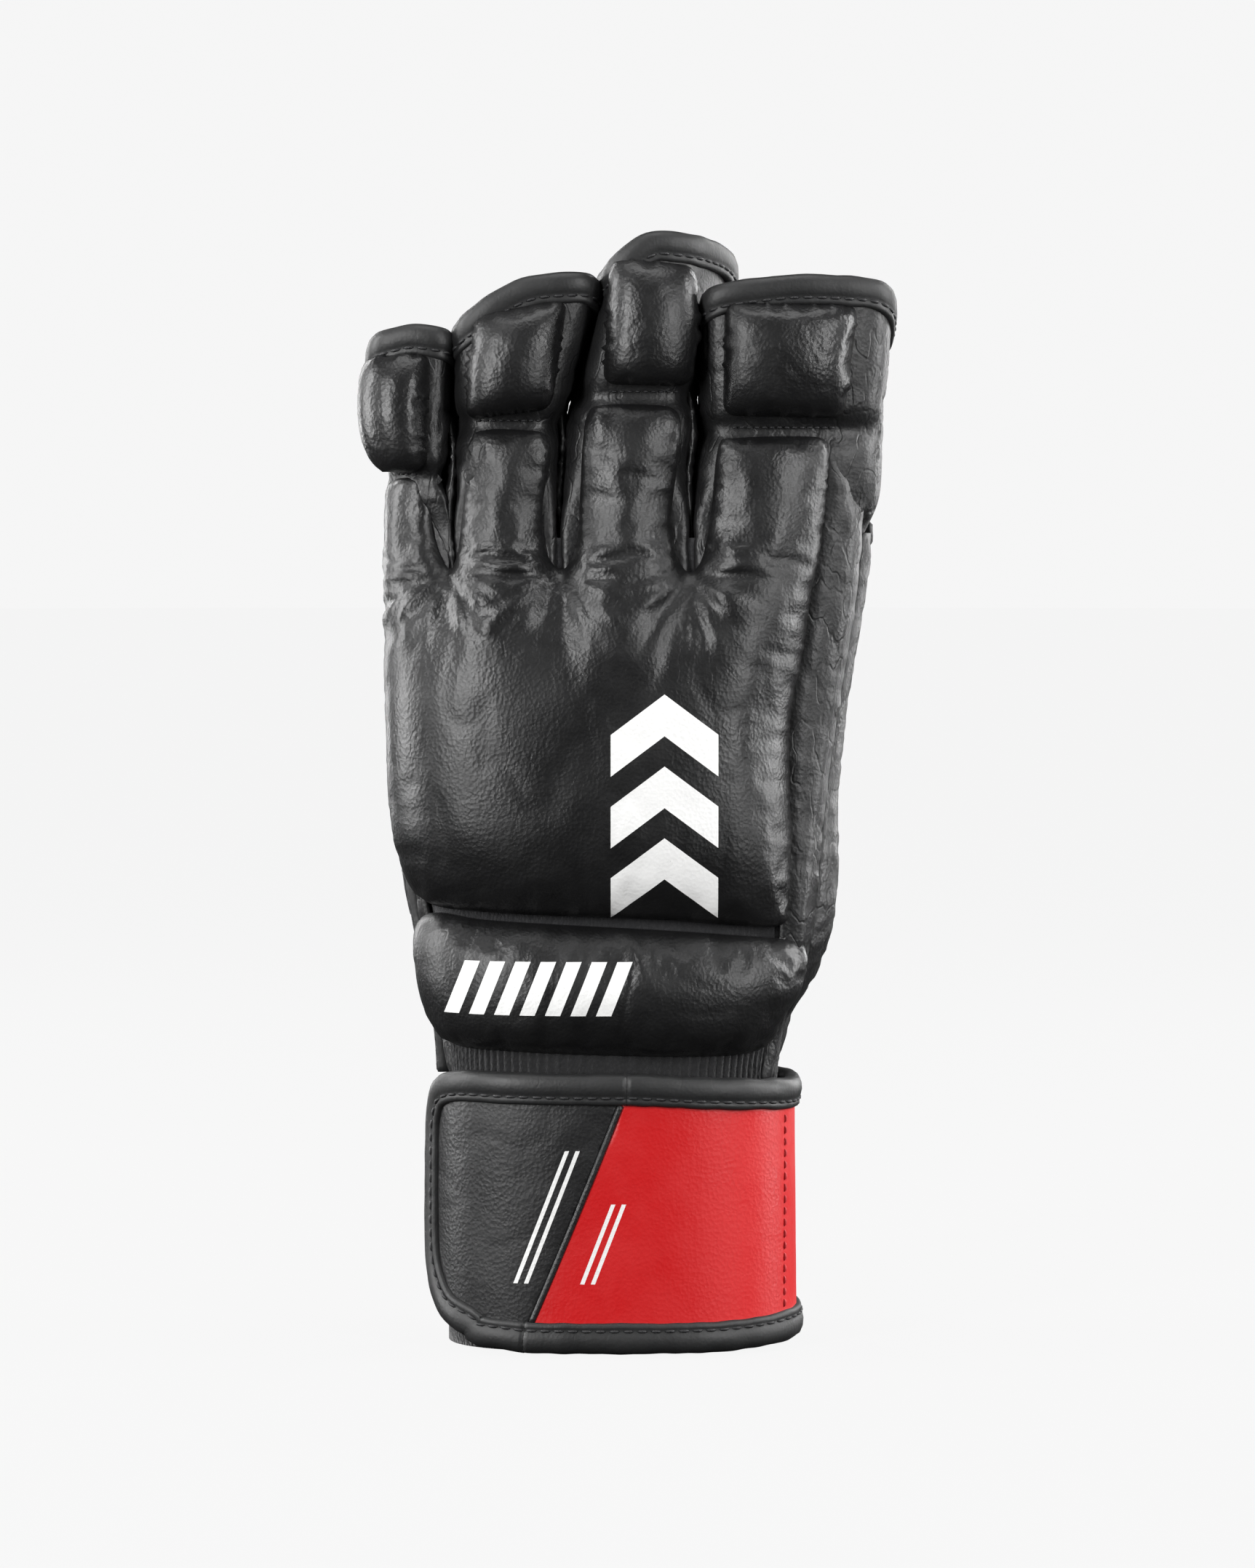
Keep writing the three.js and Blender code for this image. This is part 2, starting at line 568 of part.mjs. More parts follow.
// A piece of cloth or leather over the palm between two x, cut to an outline.
function palmPatch(thickness, shape, columns, rows, ...openings) {
  const box = new THREE.Box2().setFromPoints(shape.getPoints(4));
  const margin = 3;
  const face = (offset) => (u, v) => {
    const z = THREE.MathUtils.lerp(box.min.y - margin, box.max.y + margin, v);
    const from = palmAngle(box.min.x - margin, ROOT_Z);
    const to = palmAngle(box.max.x + margin, ROOT_Z);
    return skin(THREE.MathUtils.lerp(from, to, u), z, offset);
  };
  const patch = sheet(columns, rows, face(thickness.outer), face(thickness.inner));
  return cut(patch, outside(shape), ...openings);
}

function outside(shape) {
  const box = new THREE.Shape([
    new THREE.Vector2(-REACH, -REACH),
    new THREE.Vector2(REACH, -REACH),
    new THREE.Vector2(REACH, ABOVE),
    new THREE.Vector2(-REACH, ABOVE),
  ]);
  box.holes.push(new THREE.Path(shape.getPoints(5)));
  return prism(box, -1, REACH, 5);
}

const through = (shape) => prism(shape, 1, REACH, 5);

function buildPalm() {
  const top = fixed(HIGHEST_FOLD - PALM_CLEARANCE);
  const palm = layer(PALM_ANGLES, HAND_BOTTOM, top, 9, fixed(PANEL.outer), fixed(PANEL.inner));
  const openings = [meshShape(0), thumbOval(0), notchShape(0)].map(through);
  const trims = [foldTool(PALM_CLEARANCE, 0, REACH), ...slitTools(PALM_CROTCH, 0, REACH)];
  piece("palm_panel", cut(palm, ...openings, ...trims), "black_leather");
  piece("mesh_window", palmPatch(LINING, meshShape(2.5), 6, 3), "mesh");
  piece("mesh_rim", palmPatch(RIM, meshShape(4), 6, 3, through(meshShape(0)), through(thumbOval(5))), "black_leather");
  piece("thumb_ring", palmPatch(RIM, thumbOval(4.4), 6, 4, through(thumbOval(0))), "black_leather");
  const band = roundedRectangle(BAND.left, BAND.right, BAND.low + 0.6, BAND.high - 0.6, 2);
  const { left, right, z, half } = GRIP;
  const hole = roundedRectangle(left - 1, right + 1, z - half - 0.6, z + half + 0.6, 1);
  piece("grip_band", palmPatch(RIM, band, 12, 1, through(hole)), "black_leather");
  buildGripBar();
  buildNotch();
}

// The padded bar across the fingers' roots: a red leather cover over a foam roll.
function buildGripBar() {
  const face = (inset, heightOf) => (u, v) => {
    const x = THREE.MathUtils.lerp(GRIP.left + inset, GRIP.right - inset, u);
    const around = Math.PI * v;
    const z = GRIP.z - (GRIP.half - inset) * Math.cos(around);
    const end = Math.min(shoulder(x - GRIP.left, 5), shoulder(GRIP.right - x, 5));
    const height = heightOf * Math.sin(around) * (0.35 + 0.65 * end);
    return new THREE.Vector3(x, palmY(x, GRIP.z, PANEL.outer + 2 * GAP) + height, z);
  };
  const cover = sheet(16, 6, face(0, GRIP.proud), face(LEATHER, GRIP.proud - LEATHER));
  piece("grip_bar_cover", cover, "red_leather");
  const core = sheet(16, 6, face(LEATHER + 1.2, GRIP.proud - LEATHER - 1.4), face(LEATHER + 1.2, 0.3));
  piece("grip_bar_core", core, "foam");
}

// The wrist slit: a binding along each edge and an elastic gore behind it.
function buildNotch() {
  const low = HAND_BOTTOM + 3;
  const high = 100;
  const offset = RIM.inner + 1.6;
  const binding = (path) =>
    bar(8, (u) => {
      const centre = path(u);
      const along = path(Math.min(1, u + 0.01)).sub(path(Math.max(0, u - 0.01))).normalize();
      const middle = new THREE.Vector3(station(centre.z).cx, 0, centre.z);
      const out = centre.clone().sub(middle).normalize();
      const up = new THREE.Vector3().crossVectors(out, along).normalize();
      return { centre, out: out.multiplyScalar(1.2), up: up.multiplyScalar(2.4) };
    });
  const slope = (NOTCH.lowX - NOTCH.tipX) / (HAND_BOTTOM - 10 - NOTCH.tipZ);
  const palmEdge = (u) => {
    const z = THREE.MathUtils.lerp(high - 2, low, u);
    const x = NOTCH.tipX + slope * (z - NOTCH.tipZ) + 0.5;
    return new THREE.Vector3(x, palmY(x, z, offset), z);
  };
  const backEdge = (u) => skin(181, THREE.MathUtils.lerp(high, low, u), offset - 1);
  piece("wrist_slit_binding_palm", binding(palmEdge), "binding");
  piece("wrist_slit_binding_back", binding(backEdge), "binding");
  const face = (layerOffset) => (u, v) =>
    skin(THREE.MathUtils.lerp(112, 178, u), THREE.MathUtils.lerp(HAND_BOTTOM, 86, v), layerOffset);
  piece("wrist_slit_gore", sheet(8, 3, face(LINING.outer), face(LINING.inner)), "textile");
}

// Finger stalls: a leather tube, a foam pad under a leather cover on its back, and a binding round its mouth.
// Each stall is modelled straight and then leaned about its own fold line.
function buildFinger({ name, left, right, padLeft, padRight, fold, top }) {
  const pivotZ = fold - 3;
  const stall = new THREE.Group();
  stall.position.set(0, PIVOT_Y, pivotZ);
  stall.rotation.x = -FINGER_LEAN;
  glove.add(stall);
  const centre = { x: (left + right) / 2, y: (STALL_FRONT + STALL_BACK) / 2 };
  const half = { x: (right - left) / 2, y: (STALL_BACK - STALL_FRONT) / 2 };
  const local = (x, y, z) => new THREE.Vector3(x, y - PIVOT_Y, z - pivotZ);
  const rimDrop = 9; // how much lower the mouth is on the palm side
  const rim = (y) => top - (rimDrop * (y - STALL_FRONT)) / (2 * half.y);
  const foot = (y) => fold + 1 + Math.max(0, (y - PIVOT_Y + 8) * 0.6);
  const outline = (u, inset) => superellipse(360 * u, half.x - inset, half.y - inset, 4);
  const wall = (inset) => (u, v) => {
    const [dx, dy] = outline(u, inset);
    const y = centre.y + dy;
    return local(centre.x + dx, y, THREE.MathUtils.lerp(foot(y), rim(y) - BINDING_TALL + GAP, v));
  };
  piece(name + "_stall", sheet(20, 1, wall(0), wall(1.3), true), "black_leather", stall);

  const ringPath = (u) => {
    const [dx, dy] = outline(u, 1.2);
    const y = centre.y + dy;
    const out = new THREE.Vector3(dx / half.x, dy / half.y, 0).normalize();
    return {
      centre: local(centre.x + dx, y, rim(y) - BINDING_TALL / 2 + GAP),
      out: out.multiplyScalar(BINDING_THICK / 2 - 0.9),
      up: new THREE.Vector3(0, 0, BINDING_TALL / 2 - GAP),
    };
  };
  piece(name + "_binding", bar(20, ringPath, true), "binding", stall);

  const pad = { left: padLeft, right: padRight, low: fold + 1.2, high: top - 8 };
  const face = (inset, heightOf) => (u, v) => {
    const x = THREE.MathUtils.lerp(pad.left + inset, pad.right - inset, u);
    const z = THREE.MathUtils.lerp(pad.low + inset, pad.high - inset, v);
    return local(x, STALL_FRONT - GAP - heightOf(u, v), z);
  };
  const height = (u, v) => EDGE_HEIGHT + (FINGER_PAD_HEIGHT - EDGE_HEIGHT) * fullness(u) * fullness(v);
  const cover = sheet(6, 6, face(0, height), face(0, (u, v) => height(u, v) - LEATHER));
  piece(name + "_pad_cover", cover, "black_leather", stall);
  const foamTop = (u, v) => Math.max(0.7, 0.9 * height(u, v) - LEATHER - 1.2);
  piece(name + "_pad_foam", sheet(5, 5, face(2.4, foamTop), face(2.4, fixed(0.2))), "foam", stall);
}

// Thumb stall: a tube that starts as an oval on the palm and turns across it.
const THUMB_TILT = THREE.MathUtils.degToRad(37); // angle between the tube and the palm at its mouth
const THUMB_MOUTH = new THREE.Vector3(11, 41, 113);
const THUMB_MOUTH_SHORT = 13;
const THUMB_MOUTH_LONG = 22;
const THUMB_FOOT_Y = PANEL.outer + 22.5; // the tube's foot stands just off the palm
const THUMB_SIDE = new THREE.Vector3(Math.sin(THUMB_TILT), Math.cos(THUMB_TILT), 0);
const THUMB_AXIS = new THREE.Vector3(-Math.cos(THUMB_TILT), Math.sin(THUMB_TILT), 0);

// Point on the thumb tube: u round it, v along it from its foot, and "back" short of its mouth at v = 1.
function thumbPoint(u, v, inset, back) {
  const angle = 2 * Math.PI * u;
  const [across, along] = [Math.cos(angle), Math.sin(angle)];
  const foot = new THREE.Vector3(
    THUMB_HOLE.x + (THUMB_HOLE.rx - 1 - inset) * across,
    THUMB_FOOT_Y,
    THUMB_HOLE.z + (THUMB_HOLE.rz - 1 - inset) * along,
  );
  const mouth = THUMB_MOUTH.clone()
    .addScaledVector(THUMB_SIDE, (THUMB_MOUTH_SHORT - inset) * across)
    .addScaledVector(THUMB_AXIS, -back)
    .add(new THREE.Vector3(0, 0, (THUMB_MOUTH_LONG - inset) * along));
  const bow = 5 * Math.sin(Math.PI * v) * Math.max(0, across);
  return foot.lerp(mouth, v).addScaledVector(THUMB_SIDE, bow);
}

function buildThumb() {
  const bindingHalf = 2.6;
  const back = bindingHalf + 2 * GAP;
  const tube = (inset) => (u, v) => thumbPoint(u, v, inset, back);
  piece("thumb_stall", sheet(20, 4, tube(0), tube(1.4), true), "black_leather");
  const mouth = (u) => {
    const centre = thumbPoint(u, 1, 0.7, 0);
    const out = centre.clone().sub(THUMB_MOUTH).normalize();
    return { centre, out: out.multiplyScalar(1.8), up: THUMB_AXIS.clone().multiplyScalar(bindingHalf) };
  };
  piece("thumb_binding", bar(20, mouth, true), "binding");

  // The pad covers the tube's outer face. Its u runs round a part of the tube and its v along it.
  const pad = (inset, heightOf) => (u, v) => {
    const around = THREE.MathUtils.lerp(-0.15, 0.15, u) * (1 - inset / 15);
    const along = THREE.MathUtils.lerp(0.12 + inset / 50, 0.86 - inset / 50, v);
    return thumbPoint((around + 1) % 1, along, 0, back).addScaledVector(THUMB_SIDE, heightOf(u, v));
  };
  const height = (u, v) => 3 + 3.4 * fullness(u) * fullness(v);
  const lifted = (u, v) => 2 * GAP + height(u, v);
  const cover = sheet(6, 6, pad(0, lifted), pad(0, (u, v) => lifted(u, v) - LEATHER));
  piece("thumb_pad_cover", cover, "grey_leather");
  const foamTop = (u, v) => Math.max(1.6, height(u, v) - LEATHER - 0.6);
  piece("thumb_pad_foam", sheet(6, 4, pad(2, foamTop), pad(2, fixed(2 * GAP))), "foam");
}

buildCuff();
buildStrapFlap();
buildBack();
buildGussets();
buildPalm();
FINGERS.forEach(buildFinger);
buildThumb();

const overall = new THREE.Box3().setFromObject(glove);
const middle = overall.getCenter(new THREE.Vector3());
glove.position.set(-middle.x, -middle.y, -overall.min.z);

export default glove;
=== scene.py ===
"""Open-finger grappling glove, left hand: leather, padding, bindings, stitching and mesh built round its CAD frame."""

import math

import bmesh
import bpy
import numpy as np
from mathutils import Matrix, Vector, noise
from mathutils.geometry import delaunay_2d_cdt


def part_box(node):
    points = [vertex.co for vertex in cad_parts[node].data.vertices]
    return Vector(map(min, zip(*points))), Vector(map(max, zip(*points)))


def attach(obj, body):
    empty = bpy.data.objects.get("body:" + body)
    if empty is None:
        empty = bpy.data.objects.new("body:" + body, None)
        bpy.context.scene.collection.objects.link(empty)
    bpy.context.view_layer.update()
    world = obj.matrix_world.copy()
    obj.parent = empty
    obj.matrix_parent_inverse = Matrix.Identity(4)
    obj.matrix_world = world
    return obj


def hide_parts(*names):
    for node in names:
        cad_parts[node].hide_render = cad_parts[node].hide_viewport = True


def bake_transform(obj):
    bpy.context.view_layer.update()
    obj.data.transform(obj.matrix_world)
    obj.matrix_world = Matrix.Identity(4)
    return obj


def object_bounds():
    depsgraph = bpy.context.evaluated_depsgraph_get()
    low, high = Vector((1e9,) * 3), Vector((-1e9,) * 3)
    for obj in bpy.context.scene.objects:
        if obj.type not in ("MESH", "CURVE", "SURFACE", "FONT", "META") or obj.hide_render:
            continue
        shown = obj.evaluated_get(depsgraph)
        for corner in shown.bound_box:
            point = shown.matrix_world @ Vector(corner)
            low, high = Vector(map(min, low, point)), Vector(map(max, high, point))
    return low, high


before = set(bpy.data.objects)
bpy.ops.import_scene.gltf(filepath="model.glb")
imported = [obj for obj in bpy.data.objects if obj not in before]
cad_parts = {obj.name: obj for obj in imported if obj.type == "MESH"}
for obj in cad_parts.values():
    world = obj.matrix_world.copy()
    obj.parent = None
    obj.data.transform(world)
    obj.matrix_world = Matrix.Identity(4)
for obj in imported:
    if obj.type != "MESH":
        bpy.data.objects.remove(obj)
CAD_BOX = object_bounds()

# Everything below is worked out in millimetres from the axis of the cuff, with z up from its mouth, +x to the thumb
# side, -y out of the back of the hand and +y out of the palm.
MM = 0.001
SLEEVE_LOW, SLEEVE_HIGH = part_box("cuff_sleeve")
AXIS = np.array([(SLEEVE_LOW.x + SLEEVE_HIGH.x) / 2, (SLEEVE_LOW.y + SLEEVE_HIGH.y) / 2, SLEEVE_LOW.z])

# Leather surface of the glove without its pads: z, leftmost x, rightmost x, y of the back, y of the palm.
OUTLINE = np.array([
    (-10, -37.5, 37.5, -23.3, 23.5),
    (0, -37.5, 37.5, -23.3, 23.5),
    (30, -37.2, 37.2, -23.3, 23.5),
    (58, -37, 37, -23.3, 23.5),
    (66, -37.2, 37.6, -23.2, 23.8),
    (74, -38, 39.8, -23, 24.4),
    (84, -40, 45.2, -22.6, 25),
    (96, -42.6, 49, -22.2, 25),
    (110, -45, 50, -21.4, 24.4),
    (125, -46.3, 50, -20.4, 23.4),
    (150, -47.6, 53, -19.2, 22),
    (175, -49, 57, -18.2, 21),
    (192, -50, 59.2, -17.4, 20),
    (215, -51, 60.3, -16.6, 19),
    (260, -51, 61, -16, 18),
])
SQUARENESS = 2.6
SIDES = {"thumb": (0, 1), "palm": (90, -1), "little": (180, 1), "back": (270, 1)}
ARC = np.linspace(-180, 180, 361)


def smooth_table(z, table):
    """Columns of a table at heights z, by Catmull-Rom interpolation."""
    keys = table[:, 0]
    z = np.clip(z, keys[0], keys[-1])
    i = np.clip(np.searchsorted(keys, z, side="right") - 1, 0, len(keys) - 2)
    before, after = np.maximum(i - 1, 0), np.minimum(i + 2, len(keys) - 1)
    span = keys[i + 1] - keys[i]
    t = ((z - keys[i]) / span)[:, None]
    rows = table[:, 1:]
    slope_a = (rows[i + 1] - rows[before]) / (keys[i + 1] - keys[before])[:, None] * span[:, None]
    slope_b = (rows[after] - rows[i]) / (keys[after] - keys[i])[:, None] * span[:, None]
    h = (2 * t**3 - 3 * t**2 + 1, t**3 - 2 * t**2 + t, -2 * t**3 + 3 * t**2, t**3 - t**2)
    return h[0] * rows[i] + h[1] * slope_a + h[2] * rows[i + 1] + h[3] * slope_b


def smoothstep(v, a, b):
    t = np.clip((np.asarray(v, float) - a) / (b - a), 0, 1)
    return t * t * (3 - 2 * t)


def section(z, angles):
    """Outline of the glove at each z: x, y for every angle in degrees, with the axes of the cross-section."""
    left, right, front, back = smooth_table(z, OUTLINE).T
    centre, half = (left + right) / 2, (right - left) / 2
    turn = np.radians(angles)
    power = 2 / SQUARENESS
    c, s = np.cos(turn), np.sin(turn)
    x = centre[:, None] + half[:, None] * np.sign(c) * np.abs(c) ** power
    depth = np.where(s < 0, -front[:, None], back[:, None])
    y = depth * np.sign(s) * np.abs(s) ** power
    return x, y, centre, half, front, back


def arcs(side, z):
    ref, sign = SIDES[side]
    x, y, *axes = section(z, ref + ARC)
    run = np.concatenate([np.zeros((len(z), 1)), np.cumsum(np.hypot(np.diff(x), np.diff(y)), 1)], 1)
    middle = len(ARC) // 2
    return x, y, sign * (run - run[:, middle:middle + 1]), axes


def wrap(side, u, z, h=0.0):
    """Points h outside the leather surface, u along it from the middle of a side, at height z."""
    u, z, h = (np.asarray(v, float).ravel() for v in np.broadcast_arrays(u, z, h))
    x, y, run, (centre, half, front, back) = arcs(side, z)
    if SIDES[side][1] < 0:
        x, y, run = x[:, ::-1], y[:, ::-1], run[:, ::-1]
    rows = np.arange(len(z))
    i = np.clip((run < u[:, None]).sum(1) - 1, 0, len(ARC) - 2)
    f = (u - run[rows, i]) / np.maximum(run[rows, i + 1] - run[rows, i], 1e-9)
    px = x[rows, i] + f * (x[rows, i + 1] - x[rows, i])
    py = y[rows, i] + f * (y[rows, i + 1] - y[rows, i])
    depth = np.where(py < 0, -front, back)
    gx, gy = (px - centre) / half, py / depth
    nx = np.sign(gx) * np.abs(gx) ** (SQUARENESS - 1) / half
    ny = np.sign(gy) * np.abs(gy) ** (SQUARENESS - 1) / depth
    size = np.hypot(nx, ny)
    return np.column_stack([px + h * nx / size, py + h * ny / size, z])


def normals_at(side, u, z):
    return wrap(side, u, z, 1) - wrap(side, u, z, 0)


def u_at_angle(side, angle, z):
    """Distance along a side's surface to the point at an angle, per height."""
    ref, sign = SIDES[side]
    z = np.atleast_1d(np.asarray(z, float))
    _, _, run, _ = arcs(side, z)
    turn = (angle - ref + 180) % 360 - 180
    return np.array([np.interp(turn, ARC, row) for row in run])


def at_angle(angle, z, h=0.0):
    """Points h outside the leather surface at an angle in degrees and a height."""
    angle, z, h = (np.asarray(v, float).ravel() for v in np.broadcast_arrays(angle, z, h))
    left, right, front, back = smooth_table(z, OUTLINE).T
    centre, half = (left + right) / 2, (right - left) / 2
    c, s = np.cos(np.radians(angle)), np.sin(np.radians(angle))
    power = 2 / SQUARENESS
    depth = np.where(s < 0, -front, back)
    gx, gy = np.sign(c) * np.abs(c) ** power, np.sign(s) * np.abs(s) ** power
    nx = np.sign(gx) * np.abs(gx) ** (SQUARENESS - 1) / half
    ny = np.sign(gy) * np.abs(gy) ** (SQUARENESS - 1) / depth
    size = np.hypot(nx, ny)
    return np.column_stack([centre + half * gx + h * nx / size, depth * gy + h * ny / size, z])


def angle_at_x(x, z):
    """Angle of the point of the back that has a given x, for paired lists."""
    left, right, _, _ = smooth_table(np.asarray(z, float), OUTLINE).T
    t = np.clip((np.asarray(x, float) - (left + right) / 2) / ((right - left) / 2), -1, 1)
    return 360 - np.degrees(np.arccos(np.sign(t) * np.abs(t) ** (SQUARENESS / 2)))


def u_at_x(side, x, z):
    """Distance along the back or the palm to the point with a given x, for paired lists."""
    z = np.asarray(z, float)
    xs, _, run, _ = arcs(side, z)
    half = len(ARC) // 4
    keep = slice(half, len(ARC) - half)
    out = []
    for value, row_x, row_u in zip(x, xs[:, keep], run[:, keep]):
        order = np.argsort(row_x)
        out.append(np.interp(value, row_x[order], row_u[order]))
    return np.array(out)


def unroll(side, points):
    """An outline given as x and z seen square on, as distances along that side."""
    points = np.array(points, float)
    return np.column_stack([u_at_x(side, points[:, 0], points[:, 1]), points[:, 1]])


# ---------------------------------------------------------------- outlines


def curve(points, step=1.5, closed=True, tension=0.5):
    """Catmull-Rom curve through points, resampled at equal steps."""
    p = np.array(points, float)
    if closed:
        p = np.vstack([p[-1], p, p[0], p[1]])
    else:
        p = np.vstack([2 * p[0] - p[1], p, 2 * p[-1] - p[-2]])
    pieces = []
    t = np.linspace(0, 1, 24, endpoint=False)[:, None]
    for a, b, c, d in zip(p, p[1:], p[2:], p[3:]):
        m, n = tension * (c - a), tension * (d - b)
        pieces.append((2 * t**3 - 3 * t**2 + 1) * b + (t**3 - 2 * t**2 + t) * m
                      + (-2 * t**3 + 3 * t**2) * c + (t**3 - t**2) * n)
    dense = np.vstack(pieces + [p[-2:-1]])
    return resample(dense, step, closed)


def resample(dense, step, closed):
    run = np.concatenate([[0], np.cumsum(np.linalg.norm(np.diff(dense, axis=0), axis=1))])
    count = max(3, int(round(run[-1] / step)))
    at = np.linspace(0, run[-1], count + 1)
    out = np.column_stack([np.interp(at, run, dense[:, k]) for k in range(dense.shape[1])])
    return out[:-1] if closed else out


def polygon(points, step=1.5, radius=0.0):
    """Closed outline with straight sides, its corners rounded."""
    p = np.array(points, float)
    dense = []
    for before, corner, after in zip(np.roll(p, 1, 0), p, np.roll(p, -1, 0)):
        a, b = before - corner, after - corner
        r = min(radius, 0.45 * np.linalg.norm(a), 0.45 * np.linalg.norm(b))
        start = corner + a / np.linalg.norm(a) * r
        end = corner + b / np.linalg.norm(b) * r
        for t in np.linspace(0, 1, 8 if r > 0 else 1):
            dense.append((1 - t) ** 2 * start + 2 * t * (1 - t) * corner + t**2 * end)
    dense.append(dense[0])
    return resample(np.array(dense), step, True)


def inside(points, loop):
    x, y = points[:, 0], points[:, 1]
    result = np.zeros(len(points), bool)
    for (x1, y1), (x2, y2) in zip(loop, np.roll(loop, -1, 0)):
        crosses = (y1 > y) != (y2 > y)
        with np.errstate(divide="ignore", invalid="ignore"):
            result ^= crosses & (x < (x2 - x1) * (y - y1) / (y2 - y1) + x1)
    return result


def distance_to(points, loop, closed=True):
    """Distance from each point to a polyline."""
    ends = np.roll(loop, -1, 0) if closed else loop[1:]
    starts = loop if closed else loop[:-1]
    best = np.full(len(points), 1e9)
    for a, b in zip(starts, ends):
        d = b - a
        t = np.clip(((points - a) @ d) / max(d @ d, 1e-12), 0, 1)
        best = np.minimum(best, np.linalg.norm(points - a - t[:, None] * d, axis=1))
    return best


def fill(outline, step, holes=()):
    """Even triangles inside an outline: flat points, faces, and which points lie on an edge."""
    loops = [outline, *holes]
    low, high = outline.min(0), outline.max(0)
    row = step * math.sqrt(3) / 2
    grid = [
        (x + (step / 2 if j % 2 else 0), z)
        for j, z in enumerate(np.arange(low[1], high[1], row))
        for x in np.arange(low[0], high[0], step)
    ]
    grid = np.array(grid)
    keep = inside(grid, outline)
    for loop in holes:
        keep &= ~inside(grid, loop)
    grid = grid[keep]
    near = np.min([distance_to(grid, loop) for loop in loops], 0)
    grid = grid[near > 0.6 * step]
    points, edges = [], []
    for loop in loops:
        first = len(points)
        points += [Vector(p) for p in loop]
        edges += [(first + i, first + (i + 1) % len(loop)) for i in range(len(loop))]
    points += [Vector(p) for p in grid]
    flat, _, faces, *_ = delaunay_2d_cdt(points, edges, [], 0, 1e-5)
    flat = np.array(flat)
    faces = np.array([f for f in faces if len(f) == 3])
    middle = flat[faces].mean(1)
    good = inside(middle, outline)
    for loop in holes:
        good &= ~inside(middle, loop)
    faces = faces[good]
    used = np.unique(faces)
    index = np.full(len(flat), -1)
    index[used] = np.arange(len(used))
    flat, faces = flat[used], index[faces]
    a, b, c = flat[faces[:, 0]], flat[faces[:, 1]], flat[faces[:, 2]]
    turn = (b[:, 0] - a[:, 0]) * (c[:, 1] - a[:, 1]) - (b[:, 1] - a[:, 1]) * (c[:, 0] - a[:, 0])
    faces[turn < 0] = faces[turn < 0][:, ::-1]
    sides = np.sort(np.vstack([faces[:, [0, 1]], faces[:, [1, 2]], faces[:, [2, 0]]]), axis=1)
    unique, counts = np.unique(sides, axis=0, return_counts=True)
    edge = np.zeros(len(flat), bool)
    edge[unique[counts == 1].ravel()] = True
    return flat, faces, edge


def pillow(flat, faces, edge, reach, power=0.6, target=1.0, steps=500):
    """How full a pad is at each point: 0 on its edges, levelling out further in than reach."""
    pairs = np.vstack([faces[:, [0, 1]], faces[:, [1, 2]], faces[:, [2, 0]]])
    pairs = np.unique(np.sort(pairs, 1), axis=0)
    i, j = np.concatenate([pairs[:, 0], pairs[:, 1]]), np.concatenate([pairs[:, 1], pairs[:, 0]])
    step = np.linalg.norm(flat[pairs[:, 0]] - flat[pairs[:, 1]], axis=1).mean()
    degree = np.bincount(i, minlength=len(flat))
    pull = 1.5 * (step / reach) ** 2
    full = np.zeros(len(flat))
    goal = np.broadcast_to(target, full.shape)
    for _ in range(steps):
        around = np.bincount(i, full[j], len(flat))
        full = (around + pull * goal) / (degree + pull)
        full[edge] = 0
    return np.clip(full, 0, None) ** power


# ---------------------------------------------------------------- meshes


def mesh_object(name, points, faces, material, uv=None, smooth=True, second=None, second_faces=None):
    """A mesh from points in millimetres from the cuff's axis. Faces listed in second_faces take the second material."""
    mesh = bpy.data.meshes.new(name)
    mesh.from_pydata((AXIS + np.asarray(points) * MM).tolist(), [], [list(map(int, f)) for f in faces])
    form = bmesh.new()
    form.from_mesh(mesh)
    bmesh.ops.recalc_face_normals(form, faces=form.faces)
    form.to_mesh(mesh)
    form.free()
    mesh.polygons.foreach_set("use_smooth", [smooth] * len(mesh.polygons))
    rest = mesh.attributes.new("rest", "FLOAT_VECTOR", "POINT")
    rest.data.foreach_set("vector", np.asarray(points, np.float32).ravel())
    mesh.materials.append(material)
    if second is not None:
        mesh.materials.append(second)
        index = np.zeros(len(mesh.polygons), int)
        index[second_faces] = 1
        mesh.polygons.foreach_set("material_index", index)
    if uv is not None:
        layer = mesh.uv_layers.new(name="UVMap")
        loops = np.zeros(len(mesh.loops), int)
        mesh.loops.foreach_get("vertex_index", loops)
        layer.data.foreach_set("uv", np.asarray(uv, float)[loops].ravel())
    mesh.update()
    obj = bpy.data.objects.new(name, mesh)
    bpy.context.scene.collection.objects.link(obj)
    return obj


def vertex_normals(points, faces):
    faces = np.asarray(faces)
    out = np.zeros_like(points)
    a, b, c = points[faces[:, 0]], points[faces[:, 1]], points[faces[:, 2]]
    n = np.cross(b - a, c - a)
    for k in range(faces.shape[1]):
        np.add.at(out, faces[:, k], n)
    return out / np.maximum(np.linalg.norm(out, axis=1), 1e-9)[:, None]


